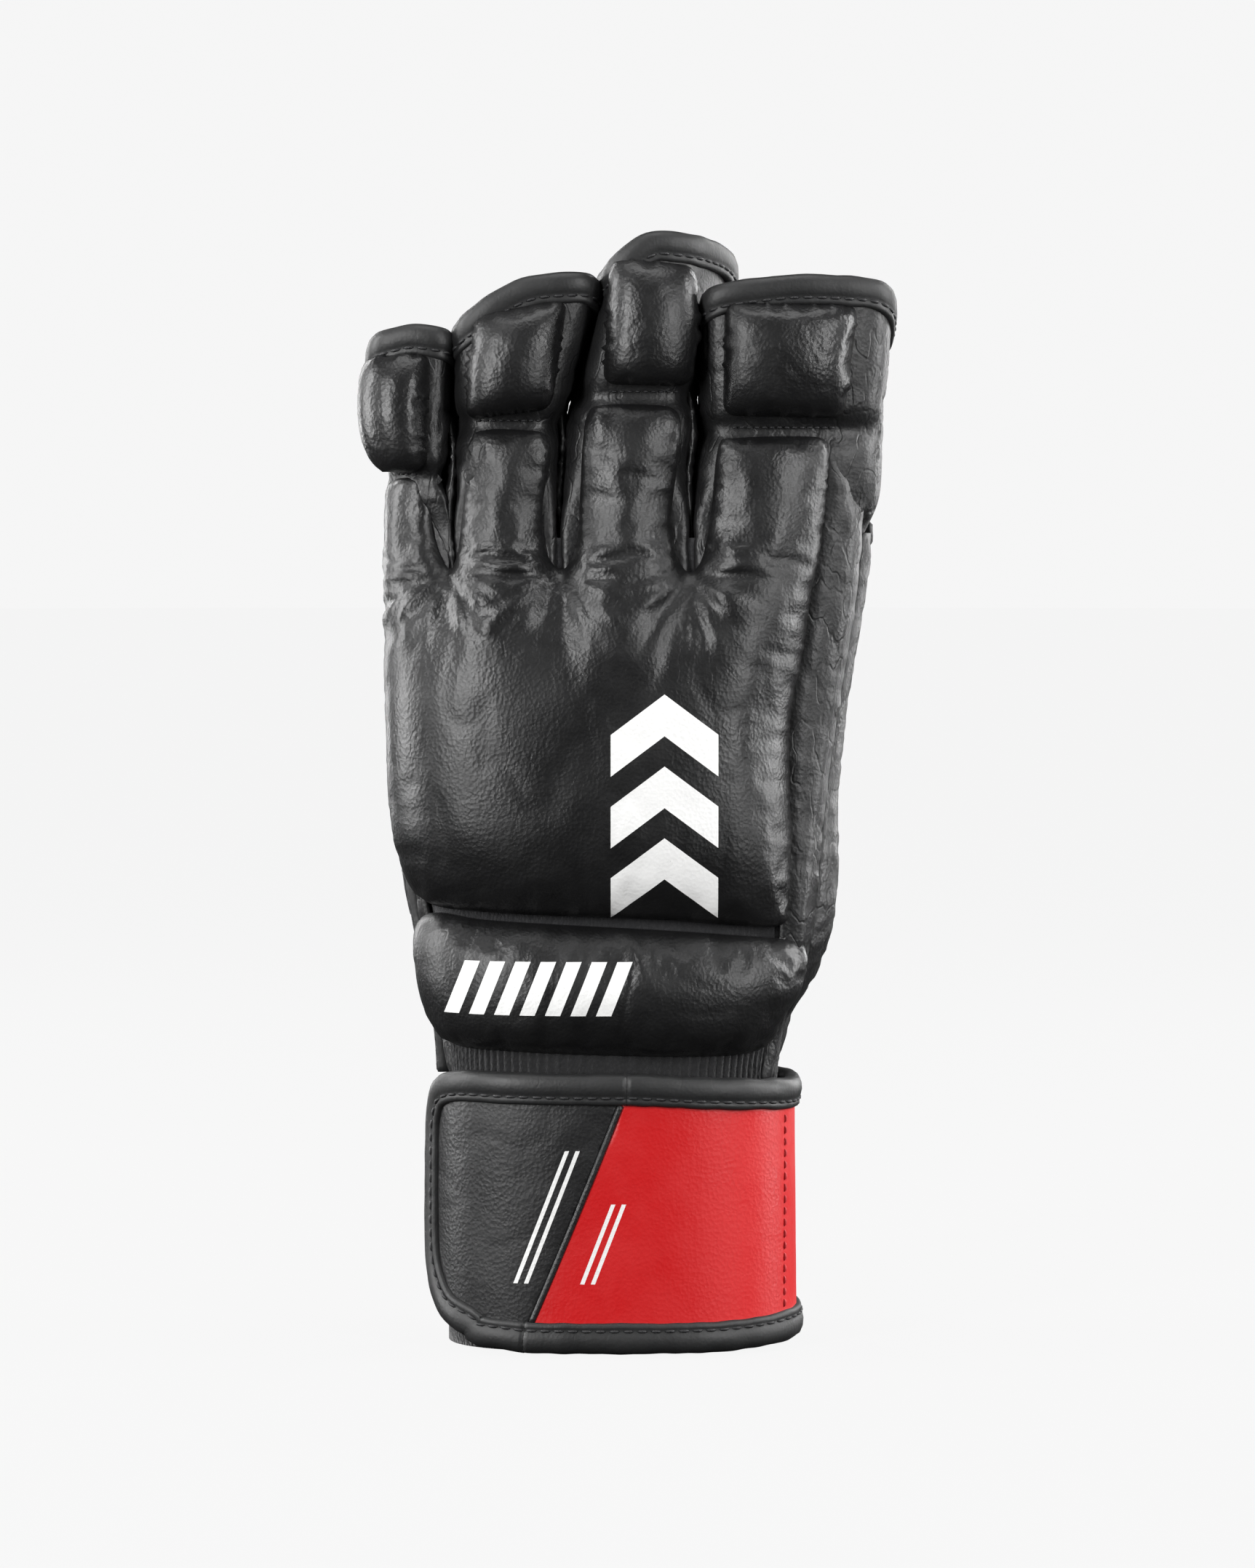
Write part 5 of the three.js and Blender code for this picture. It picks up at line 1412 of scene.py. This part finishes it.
def slit_folds():
    """The rolled edge of leather round the lower end of each slit, on the palm."""
    turn = np.linspace(0, 2 * math.pi, 14, endpoint=False)
    for seed, (x, z_low) in enumerate(zip((17.6, -11.6, -36.4), PALM_SLITS)):
        bend = np.linspace(0, math.pi, 26)
        half = 3.1
        arc = np.column_stack([x - half * np.cos(bend), z_low + half - half * np.sin(bend)])
        left = [(x - half + 0.8, z_low + 15), (x - half, z_low + 9)]
        right = [(x + half, z_low + 9), (x + half - 0.8, z_low + 15)]
        path = curve(np.vstack([left, arc, right]), 0.7, False)
        share = np.linspace(-1, 1, len(path))
        depth = 17.4 - 3.0 * np.abs(share) ** 3
        points = np.column_stack([path[:, 0], depth, path[:, 1]])
        along = np.gradient(points, axis=0)
        out = np.cross(along, [0, 0, 1.0]) * 0 + np.array([0, 1.0, 0])
        radius = 1.9 * (1 - 0.75 * np.abs(share) ** 6)
        profile = np.column_stack([np.cos(turn), np.sin(turn)])
        rolled, faces, _ = sweep(points, out, profile, False)
        centre = np.repeat(points, len(turn), axis=0)
        rolled = centre + (rolled - centre) * np.repeat(radius, len(turn))[:, None]
        quads = np.array([f for f in faces if len(f) == 4])
        rolled = roughen(rolled, quads, 0.7, 0.22, 100 + seed, sharp=0.14)
        place(f"slit_fold_{seed}", rolled, faces, PALM, "hand")


# ---------------------------------------------------------------- thumb

MOUTH = line(11, 41, 113)
MOUTH_TILT = math.radians(37)
MOUTH_SHORT, MOUTH_LONG, MOUTH_POWER = 10.0, 20.5, 0.72
BEND_THUMB = ("hand", "thumb", (26, 24, 114), (26, 33, 114))


def thumb_point(s, turn):
    """A point of the thumb stall: s from its base on the palm to its mouth, turn round it from the outer side."""
    s, turn = (np.asarray(v, float).ravel() for v in np.broadcast_arrays(s, turn))
    x, z, rx, rz = THUMB_BASE
    base_x, base_z = x + (rx - 1) * np.cos(turn), z + (rz - 1) * np.sin(turn)
    base_y = wrap("palm", u_at_x("palm", base_x, base_z), base_z, 0.8)[:, 1]
    base = np.column_stack([base_x, base_y, base_z])
    wide = np.array([math.cos(MOUTH_TILT), math.sin(MOUTH_TILT), 0])
    c, s_ = np.cos(turn), np.sin(turn)
    across = MOUTH_SHORT * np.sign(c) * np.abs(c) ** MOUTH_POWER
    upward = MOUTH_LONG * np.sign(s_) * np.abs(s_) ** MOUTH_POWER
    mouth = MOUTH + across[:, None] * wide + upward[:, None] * np.array([0, 0, 1])
    outer = (1 + np.cos(turn)) / 2
    lift = 4 + 11 * outer
    control = base + lift[:, None] * np.array([0, 1, 0]) + (2.0 * outer)[:, None] * np.array([1, 0, 0])
    t = s[:, None]
    return (1 - t) ** 2 * base + 2 * t * (1 - t) * control + t**2 * mouth


def thumb():
    rows, columns = 44, 96
    s = np.repeat(np.linspace(0, 1, rows), columns)
    turn = np.tile(np.linspace(0, 2 * math.pi, columns, endpoint=False), rows)
    points = thumb_point(s, turn)
    faces = grid_faces(rows, columns, True)
    n = vertex_normals(points, faces)
    if (n * (points - points.mean(0))).sum() < 0:
        faces = [f[::-1] for f in faces]
    keep = smoothstep(s, 0, 0.12) * smoothstep(s, 1, 0.85)
    points = roughen(points, faces, 0.6, 0.1, 51, keep=keep, sharp=0.1, stretch=(1, 1, 1.2))
    points = roughen(points, faces, 0.25, 0.3, 52, keep=keep)
    inner = points - vertex_normals(points, faces) * 1.4
    closed, all_faces, inside_faces = shell(points, inner, faces)
    place("thumb_stall_leather", closed, all_faces, PALM, BEND_THUMB, ["thumb_stall"], LINING, inside_faces)
    rim = points.reshape(rows, columns, 3)[-1]
    out = rim - rim.mean(0)
    along = np.array([-math.sin(MOUTH_TILT), math.cos(MOUTH_TILT), 0])
    out -= (out @ along)[:, None] * along
    bind("thumb_rim_binding", rim, out, -along, True, "thumb", ["thumb_binding"])
    thumb_pad()


def thumb_pad():
    """The stitched pad on the outside of the thumb stall."""
    rows, columns, low, high, half_turn, thick = 40, 76, 0.06, 0.88, math.radians(75), 2.4
    q, p = np.repeat(np.linspace(-1, 1, rows), columns), np.tile(np.linspace(-1, 1, columns), rows)
    s = (low + high) / 2 + (high - low) / 2 * q
    turn = p * half_turn
    base = thumb_point(s, turn)
    faces = grid_faces(rows, columns)
    n = vertex_normals(base, faces)
    if (n * (base - line(15, 30, 113))).sum() < 0:
        faces = [f[::-1] for f in faces]
        n = -n
    edge = (1 - np.abs(p) ** 14) * (1 - np.abs(q) ** 10)
    seam = np.exp(-(((p - 0.62) / 0.02) ** 2))
    height = 0.3 + thick * np.clip(edge, 0, 1) ** 0.5 - 0.8 * seam * edge
    points = base + n * height[:, None]
    points = roughen(points, faces, 0.3, 0.13, 55, keep=edge)
    closed, all_faces, _ = shell(points, base - n * 0.4, faces)
    place("thumb_pad", closed, all_faces, GREY, "thumb", ["thumb_pad_cover", "thumb_pad_foam"])
    loops = []
    margin = 0.9
    for a, b in (((-1, -1), (1, -1)), ((1, -1), (1, 1)), ((1, 1), (-1, 1)), ((-1, 1), (-1, -1))):
        t = np.linspace(0, 1, 40, endpoint=False)[:, None]
        loops.append((1 - t) * line(*a) + t * line(*b))
    loop = np.vstack(loops) * (margin, margin - 0.04)
    flat_s, flat_t = (low + high) / 2 + (high - low) / 2 * loop[:, 1], loop[:, 0] * half_turn
    grid = np.column_stack([p, q])
    near = np.array([np.argmin(((grid - l) ** 2).sum(1)) for l in loop])
    out = smooth_loop(n[near], 6)
    rise = 0.45 + thick * np.clip((1 - np.abs(loop[:, 0]) ** 14) * (1 - np.abs(loop[:, 1]) ** 10), 0, 1) ** 0.5
    path = thumb_point(flat_s, flat_t) + out * smooth_loop(rise, 3)[:, None]
    path, out = np.vstack([path, path[:1]]), np.vstack([out, out[:1]])
    made, stitch_faces = join_parts(stitches(path, out, pitch=2.7, length=1.9, radius=0.28))
    place("thumb_pad_stitches", made, stitch_faces, BLACK_THREAD, "thumb")


# ---------------------------------------------------------------- cuff and strap

STRAP_TOP = line((185, 59.6), (215, 59.8), (274, 59.6), (292, 58.7), (340, 57.1), (400, 57), (450, 57.8), (525, 55.5))
STRAP_LOW = line((185, 6.2), (225, 5.0), (248, 3.9), (300, 3.9), (345, 5.0), (400, 5.4), (450, 5.0), (525, 4.4))
STRAP_HEIGHT = line((185, 5.2), (250, 5.1), (340, 4.9), (372, 4.2), (420, 3.4), (525, 3.2))
STRAP_END = (530, 492)
FREE_END = 196
BEND_STRAP = ("cuff", "strap_flap", (43, 2, 31), (43, -10, 31))
BEND_TIP = ("strap_flap", "strap_tip", (-9, -31, 31.1), (-18, -31, 34.5))


def strap_edge(table, angle):
    return np.interp(angle, table[:, 0], table[:, 1])


def seam_x(z):
    slope = (SEAM_TOP[0] - SEAM_BOTTOM[0]) / (SEAM_TOP[1] - SEAM_BOTTOM[1])
    return SEAM_BOTTOM[0] + slope * (np.asarray(z, float) - SEAM_BOTTOM[1])


def seam_angle(z):
    z = np.atleast_1d(np.asarray(z, float))
    return angle_at_x(seam_x(z), z)


def sleeve():
    columns, rows, ribs = 520, 30, 104
    angle = np.tile(np.linspace(0, 360, columns, endpoint=False), rows)
    z = np.repeat(np.linspace(0, 71, rows), columns)
    rib = 0.28 * np.cos(np.radians(angle) * ribs)
    outer = at_angle(angle, z, 0.2 + rib * smoothstep(z, 56, 60))
    inner = at_angle(angle, z, -1.6)
    closed, faces, _ = shell(outer, inner, grid_faces(rows, columns, True))
    place("ribbed_sleeve", closed, faces, KNIT, BEND_WRIST, ["cuff_sleeve"])


def strap_grid(start, end, rows, columns):
    """Angles and heights over a stretch of the strap. start and end give the angle at a height."""
    t = np.linspace(0, 1, columns)
    angle = np.empty((rows, columns))
    z = np.empty((rows, columns))
    for j, share in enumerate(t):
        level = 4 + 55 * share
        angle[:, j] = np.linspace(float(start(level)), float(end(level)), rows)
        low, high = strap_edge(STRAP_LOW, angle[:, j]), strap_edge(STRAP_TOP, angle[:, j])
        z[:, j] = low + (high - low) * share
    return angle.ravel(), z.ravel()


def red_band():
    rows, columns = 210, 50
    first = lambda z: seam_angle(z)[0]
    last = lambda z: STRAP_END[1] + (STRAP_END[0] - STRAP_END[1]) * (z - 4) / 55
    angle, z = strap_grid(first, last, rows, columns)
    height = strap_edge(STRAP_HEIGHT, angle)
    points = at_angle(angle, z, height)
    faces = np.array(grid_faces(rows, columns))
    n = vertex_normals(points, faces)
    if (n[:, :2] * points[:, :2]).sum() < 0:
        faces = faces[:, ::-1]
    edge = np.tile(smoothstep(np.minimum(np.arange(columns), np.arange(columns)[::-1]), 0, 6), rows)
    palm = smoothstep(points[:, 1], 0, 12)
    points = roughen(points, faces, 0.28, 0.04, 61, keep=edge * (0.08 + 0.92 * palm), sharp=0.06, stretch=(1.8, 1, 0.6))
    points = roughen(points, faces, 0.12, 0.13, 62, keep=edge * palm, sharp=0.08, stretch=(2.0, 1, 0.5))
    inner = points - vertex_normals(points, faces) * 1.7
    closed, all_faces, inside_faces = shell(points, inner, faces)
    place("strap_red_band", closed, all_faces, RED, BEND_STRAP, ["strap_flap_panel", "strap_wrap"], LOOP, inside_faces)
    for name, table, inward in (("top", STRAP_TOP, (0, 0, -1)), ("bottom", STRAP_LOW, (0, 0, 1))):
        begin = seam_angle(table[2, 1])[0] - 0.15
        finish = STRAP_END[0] if name == "top" else STRAP_END[1]
        turn = np.linspace(begin, finish + 0.6, 190)
        level = strap_edge(table, turn)
        lift = strap_edge(STRAP_HEIGHT, turn) - 0.5 * np.ones(190)
        path = at_angle(turn, level, lift)
        out = at_angle(turn, level, 1.0) - at_angle(turn, level, 0.0)
        nodes = [f"strap_flap_binding_{name}", f"strap_wrap_binding_{name}"]
        bind(f"strap_binding_{name}", path, out, inward, False, BEND_STRAP, nodes)
    z = np.linspace(8.5, 53, 60)
    angle = angle_at_x(np.full(60, 34.6), z)
    path = at_angle(angle, z, strap_edge(STRAP_HEIGHT, angle) + 0.2)
    out = at_angle(angle, z, 1.0) - at_angle(angle, z, 0.0)
    made, stitch_faces = join_parts(stitches(path, out, pitch=2.6, length=1.8, radius=0.26))
    place("strap_red_stitches", made, stitch_faces, RED_THREAD, BEND_STRAP)


def tip_path():
    """Edge of the strap's free end, from the seam's top round to the seam's bottom, along the back."""
    end = u_at_angle("back", FREE_END, [32.0])[0]
    top, low = 59.6, 3.9
    head = unroll("back", [(seam_x(top), top), (-10, top), (-22, top + 0.1)])
    foot = unroll("back", [(-28, low + 1.0), (-22, low + 0.4), (seam_x(low), low)])
    corner = [(end + 9, 59.6), (end + 3.2, 57.6), (end + 0.7, 52.5), (end, 45), (end, 26), (end + 1.4, 17), (end + 5.5, 9.8),
              (end + 12, 6.2)]
    return curve(np.vstack([head, corner, foot]), 1.2, False)


def low_end(path):
    return path[-1, 1] + 3.4


def high_end(path):
    return path[0, 1] - 3.4


def strap_tip():
    path = tip_path()
    seam = path[[-1, 0]]
    outline = resample(np.vstack([path, path[:1]]), 1.3, True)
    flat, faces, edge = fill(outline, 1.3)
    far = distance_to(flat, outline)
    height = 5.1 - 0.25 * np.exp(-distance_to(flat, seam, False) / 1.2) + 0.35 * smoothstep(far, 0, 10)
    points = wrap("back", flat[:, 0], flat[:, 1], height)
    points = roughen(points, faces, 0.12, 0.05, 64, keep=smoothstep(far, 0, 5), sharp=0.1)
    inner = points - vertex_normals(points, faces) * 1.7
    closed, all_faces, inside_faces = shell(points, inner, faces)
    place("strap_black_tip", closed, all_faces, TIP, BEND_TIP, ["strap_tip_panel"], LOOP, inside_faces)
    lift = wrap("back", path[:, 0], path[:, 1], 4.6)
    out = normals_at("back", path[:, 0], path[:, 1])
    centre = wrap("back", flat.mean(0)[:1], flat.mean(0)[1:], 4.6)
    bind("strap_tip_edge", lift, out, centre - lift, False, BEND_TIP, ["strap_tip_binding"])
    z = np.linspace(low_end(path), high_end(path), 60)
    seam_line = wrap("back", u_at_x("back", seam_x(z), z), z, 4.9)
    turn = np.linspace(0, 2 * math.pi, 10, endpoint=False)
    ridge = np.column_stack([0.75 * np.cos(turn), 0.8 * np.sin(turn)])
    ridge_out = normals_at("back", u_at_x("back", seam_x(z), z), z)
    ridge_points, ridge_faces, _ = sweep(seam_line, ridge_out, ridge, False)
    place("strap_seam_edge", ridge_points, ridge_faces, TIP, BEND_TIP)
    patch_outline = polygon(unroll("back", [(-36, 10), (-18, 9), (-2, 51), (-36, 52)]), 1.3, 4)
    patch, patch_faces, _ = fill(patch_outline, 1.3)
    rough = 0.25 * swell(np.column_stack([patch, 0 * patch[:, 0]]), 0.8, 3)
    outer = wrap("back", patch[:, 0], patch[:, 1], 3.3)
    under = wrap("back", patch[:, 0], patch[:, 1], 2.5 + rough)
    closed, all_faces, _ = shell(outer, under, patch_faces)
    place("hook_tape", closed, all_faces, HOOK, BEND_TIP, ["hook_patch"])


def loop_pile():
    rows, columns = 150, 46
    angle = np.repeat(np.linspace(142, 318, rows), columns)
    z = np.tile(np.linspace(6.5, 56, columns), rows)
    fluff = 0.3 * swell(np.column_stack([angle, z, 0 * z]), 0.9, 5)
    outer = at_angle(angle, z, 1.7 + fluff)
    inner = at_angle(angle, z, 0.5)
    faces = [f[::-1] for f in grid_faces(rows, columns)]
    closed, all_faces, _ = shell(outer, inner, faces)
    place("loop_tape", closed, all_faces, LOOP, "cuff", ["loop_patch"])


back_pad()
wrist_roll()
fingers()
palm_panel()
side_panels()
openings()
grip()
notch()
lining()
webs()
slit_folds()
thumb()
sleeve()
red_band()
strap_tip()
loop_pile()

# ---------------------------------------------------------------- stage


PALE, SKY_LIGHT, FLOOR_GLOW = 0.92, 0.07, 0.905


def studio():
    """A wide pale floor under a pale sky; both are brighter to the camera than as light on the glove."""
    reach, sides = 9.0, 64
    mesh = bpy.data.meshes.new("floor")
    ring = [(reach * math.cos(a), reach * math.sin(a), -0.0006) for a in np.linspace(0, 2 * math.pi, sides, endpoint=False)]
    mesh.from_pydata(ring, [], [tuple(range(sides))])
    ground = bpy.data.objects.new("floor", mesh)
    bpy.context.scene.collection.objects.link(ground)
    material = bpy.data.materials.new("paper")
    material.use_nodes = True
    tree = material.node_tree
    bsdf = tree.nodes["Principled BSDF"]
    bsdf.inputs["Base Color"].default_value = (0.015, 0.015, 0.015, 1)
    bsdf.inputs["Roughness"].default_value = 1.0
    bsdf.inputs["Specular IOR Level"].default_value = 0.0
    bsdf.inputs["Emission Color"].default_value = (1, 1, 1, 1)
    seen = tree.nodes.new("ShaderNodeLightPath").outputs["Is Camera Ray"]
    glow = tree.nodes.new("ShaderNodeMapRange")
    glow.inputs["To Min"].default_value = 0.0
    glow.inputs["To Max"].default_value = FLOOR_GLOW
    tree.links.new(seen, glow.inputs["Value"])
    tree.links.new(glow.outputs[0], bsdf.inputs["Emission Strength"])
    mesh.materials.append(material)
    sky = bpy.data.worlds.new("studio")
    bpy.context.scene.world = sky
    sky.use_nodes = True
    tree = sky.node_tree
    seen = tree.nodes.new("ShaderNodeLightPath").outputs["Is Camera Ray"]
    strength = tree.nodes.new("ShaderNodeMapRange")
    strength.inputs["To Min"].default_value = SKY_LIGHT
    strength.inputs["To Max"].default_value = PALE
    tree.links.new(seen, strength.inputs["Value"])
    background = tree.nodes["Background"]
    background.inputs["Color"].default_value = (1, 1, 1, 1)
    tree.links.new(strength.outputs[0], background.inputs["Strength"])


def lamp(name, place_at, aim, size, power):
    data = bpy.data.lights.new(name, "AREA")
    data.shape = "RECTANGLE"
    data.size, data.size_y = size
    data.energy = power
    obj = bpy.data.objects.new(name, data)
    bpy.context.scene.collection.objects.link(obj)
    obj.location = place_at
    obj.rotation_mode = "QUATERNION"
    obj.rotation_quaternion = (Vector(aim) - Vector(place_at)).to_track_quat("-Z", "Y")


def camera():
    low, high = CAD_BOX
    centre = (low + high) / 2
    data = bpy.data.cameras.new("camera")
    data.lens = 120
    data.sensor_width = 36
    obj = bpy.data.objects.new("camera", data)
    bpy.context.scene.collection.objects.link(obj)
    bpy.context.scene.camera = obj
    elevation = math.radians(3)
    shown = (high.z - low.z) / 0.70
    distance = shown / 36 * 120
    back = Vector((0, -math.cos(elevation), math.sin(elevation)))
    obj.location = centre + back * distance
    obj.rotation_mode = "QUATERNION"
    obj.rotation_quaternion = (-back).to_track_quat("-Z", "Y")
    data.clip_start, data.clip_end = 0.01, 50


studio()
middle = (0, 0, 0.13)
lamp("left_edge", (-0.85, 0.02, 0.3), middle, (0.3, 1.0), 12)
lamp("right_edge", (0.85, 0.02, 0.3), middle, (0.3, 1.0), 12)
lamp("left_strip", (-0.62, -0.75, 0.42), middle, (0.13, 0.8), 9)
lamp("right_strip", (0.62, -0.75, 0.42), middle, (0.13, 0.8), 6)
lamp("palm_left_strip", (-0.62, 0.75, 0.42), middle, (0.13, 0.8), 5)
lamp("palm_right_strip", (0.62, 0.75, 0.42), middle, (0.13, 0.8), 5)
lamp("top_softbox", (0.0, -0.15, 1.2), middle, (0.8, 0.6), 5)
bpy.context.scene.view_settings.view_transform = "Standard"
camera()
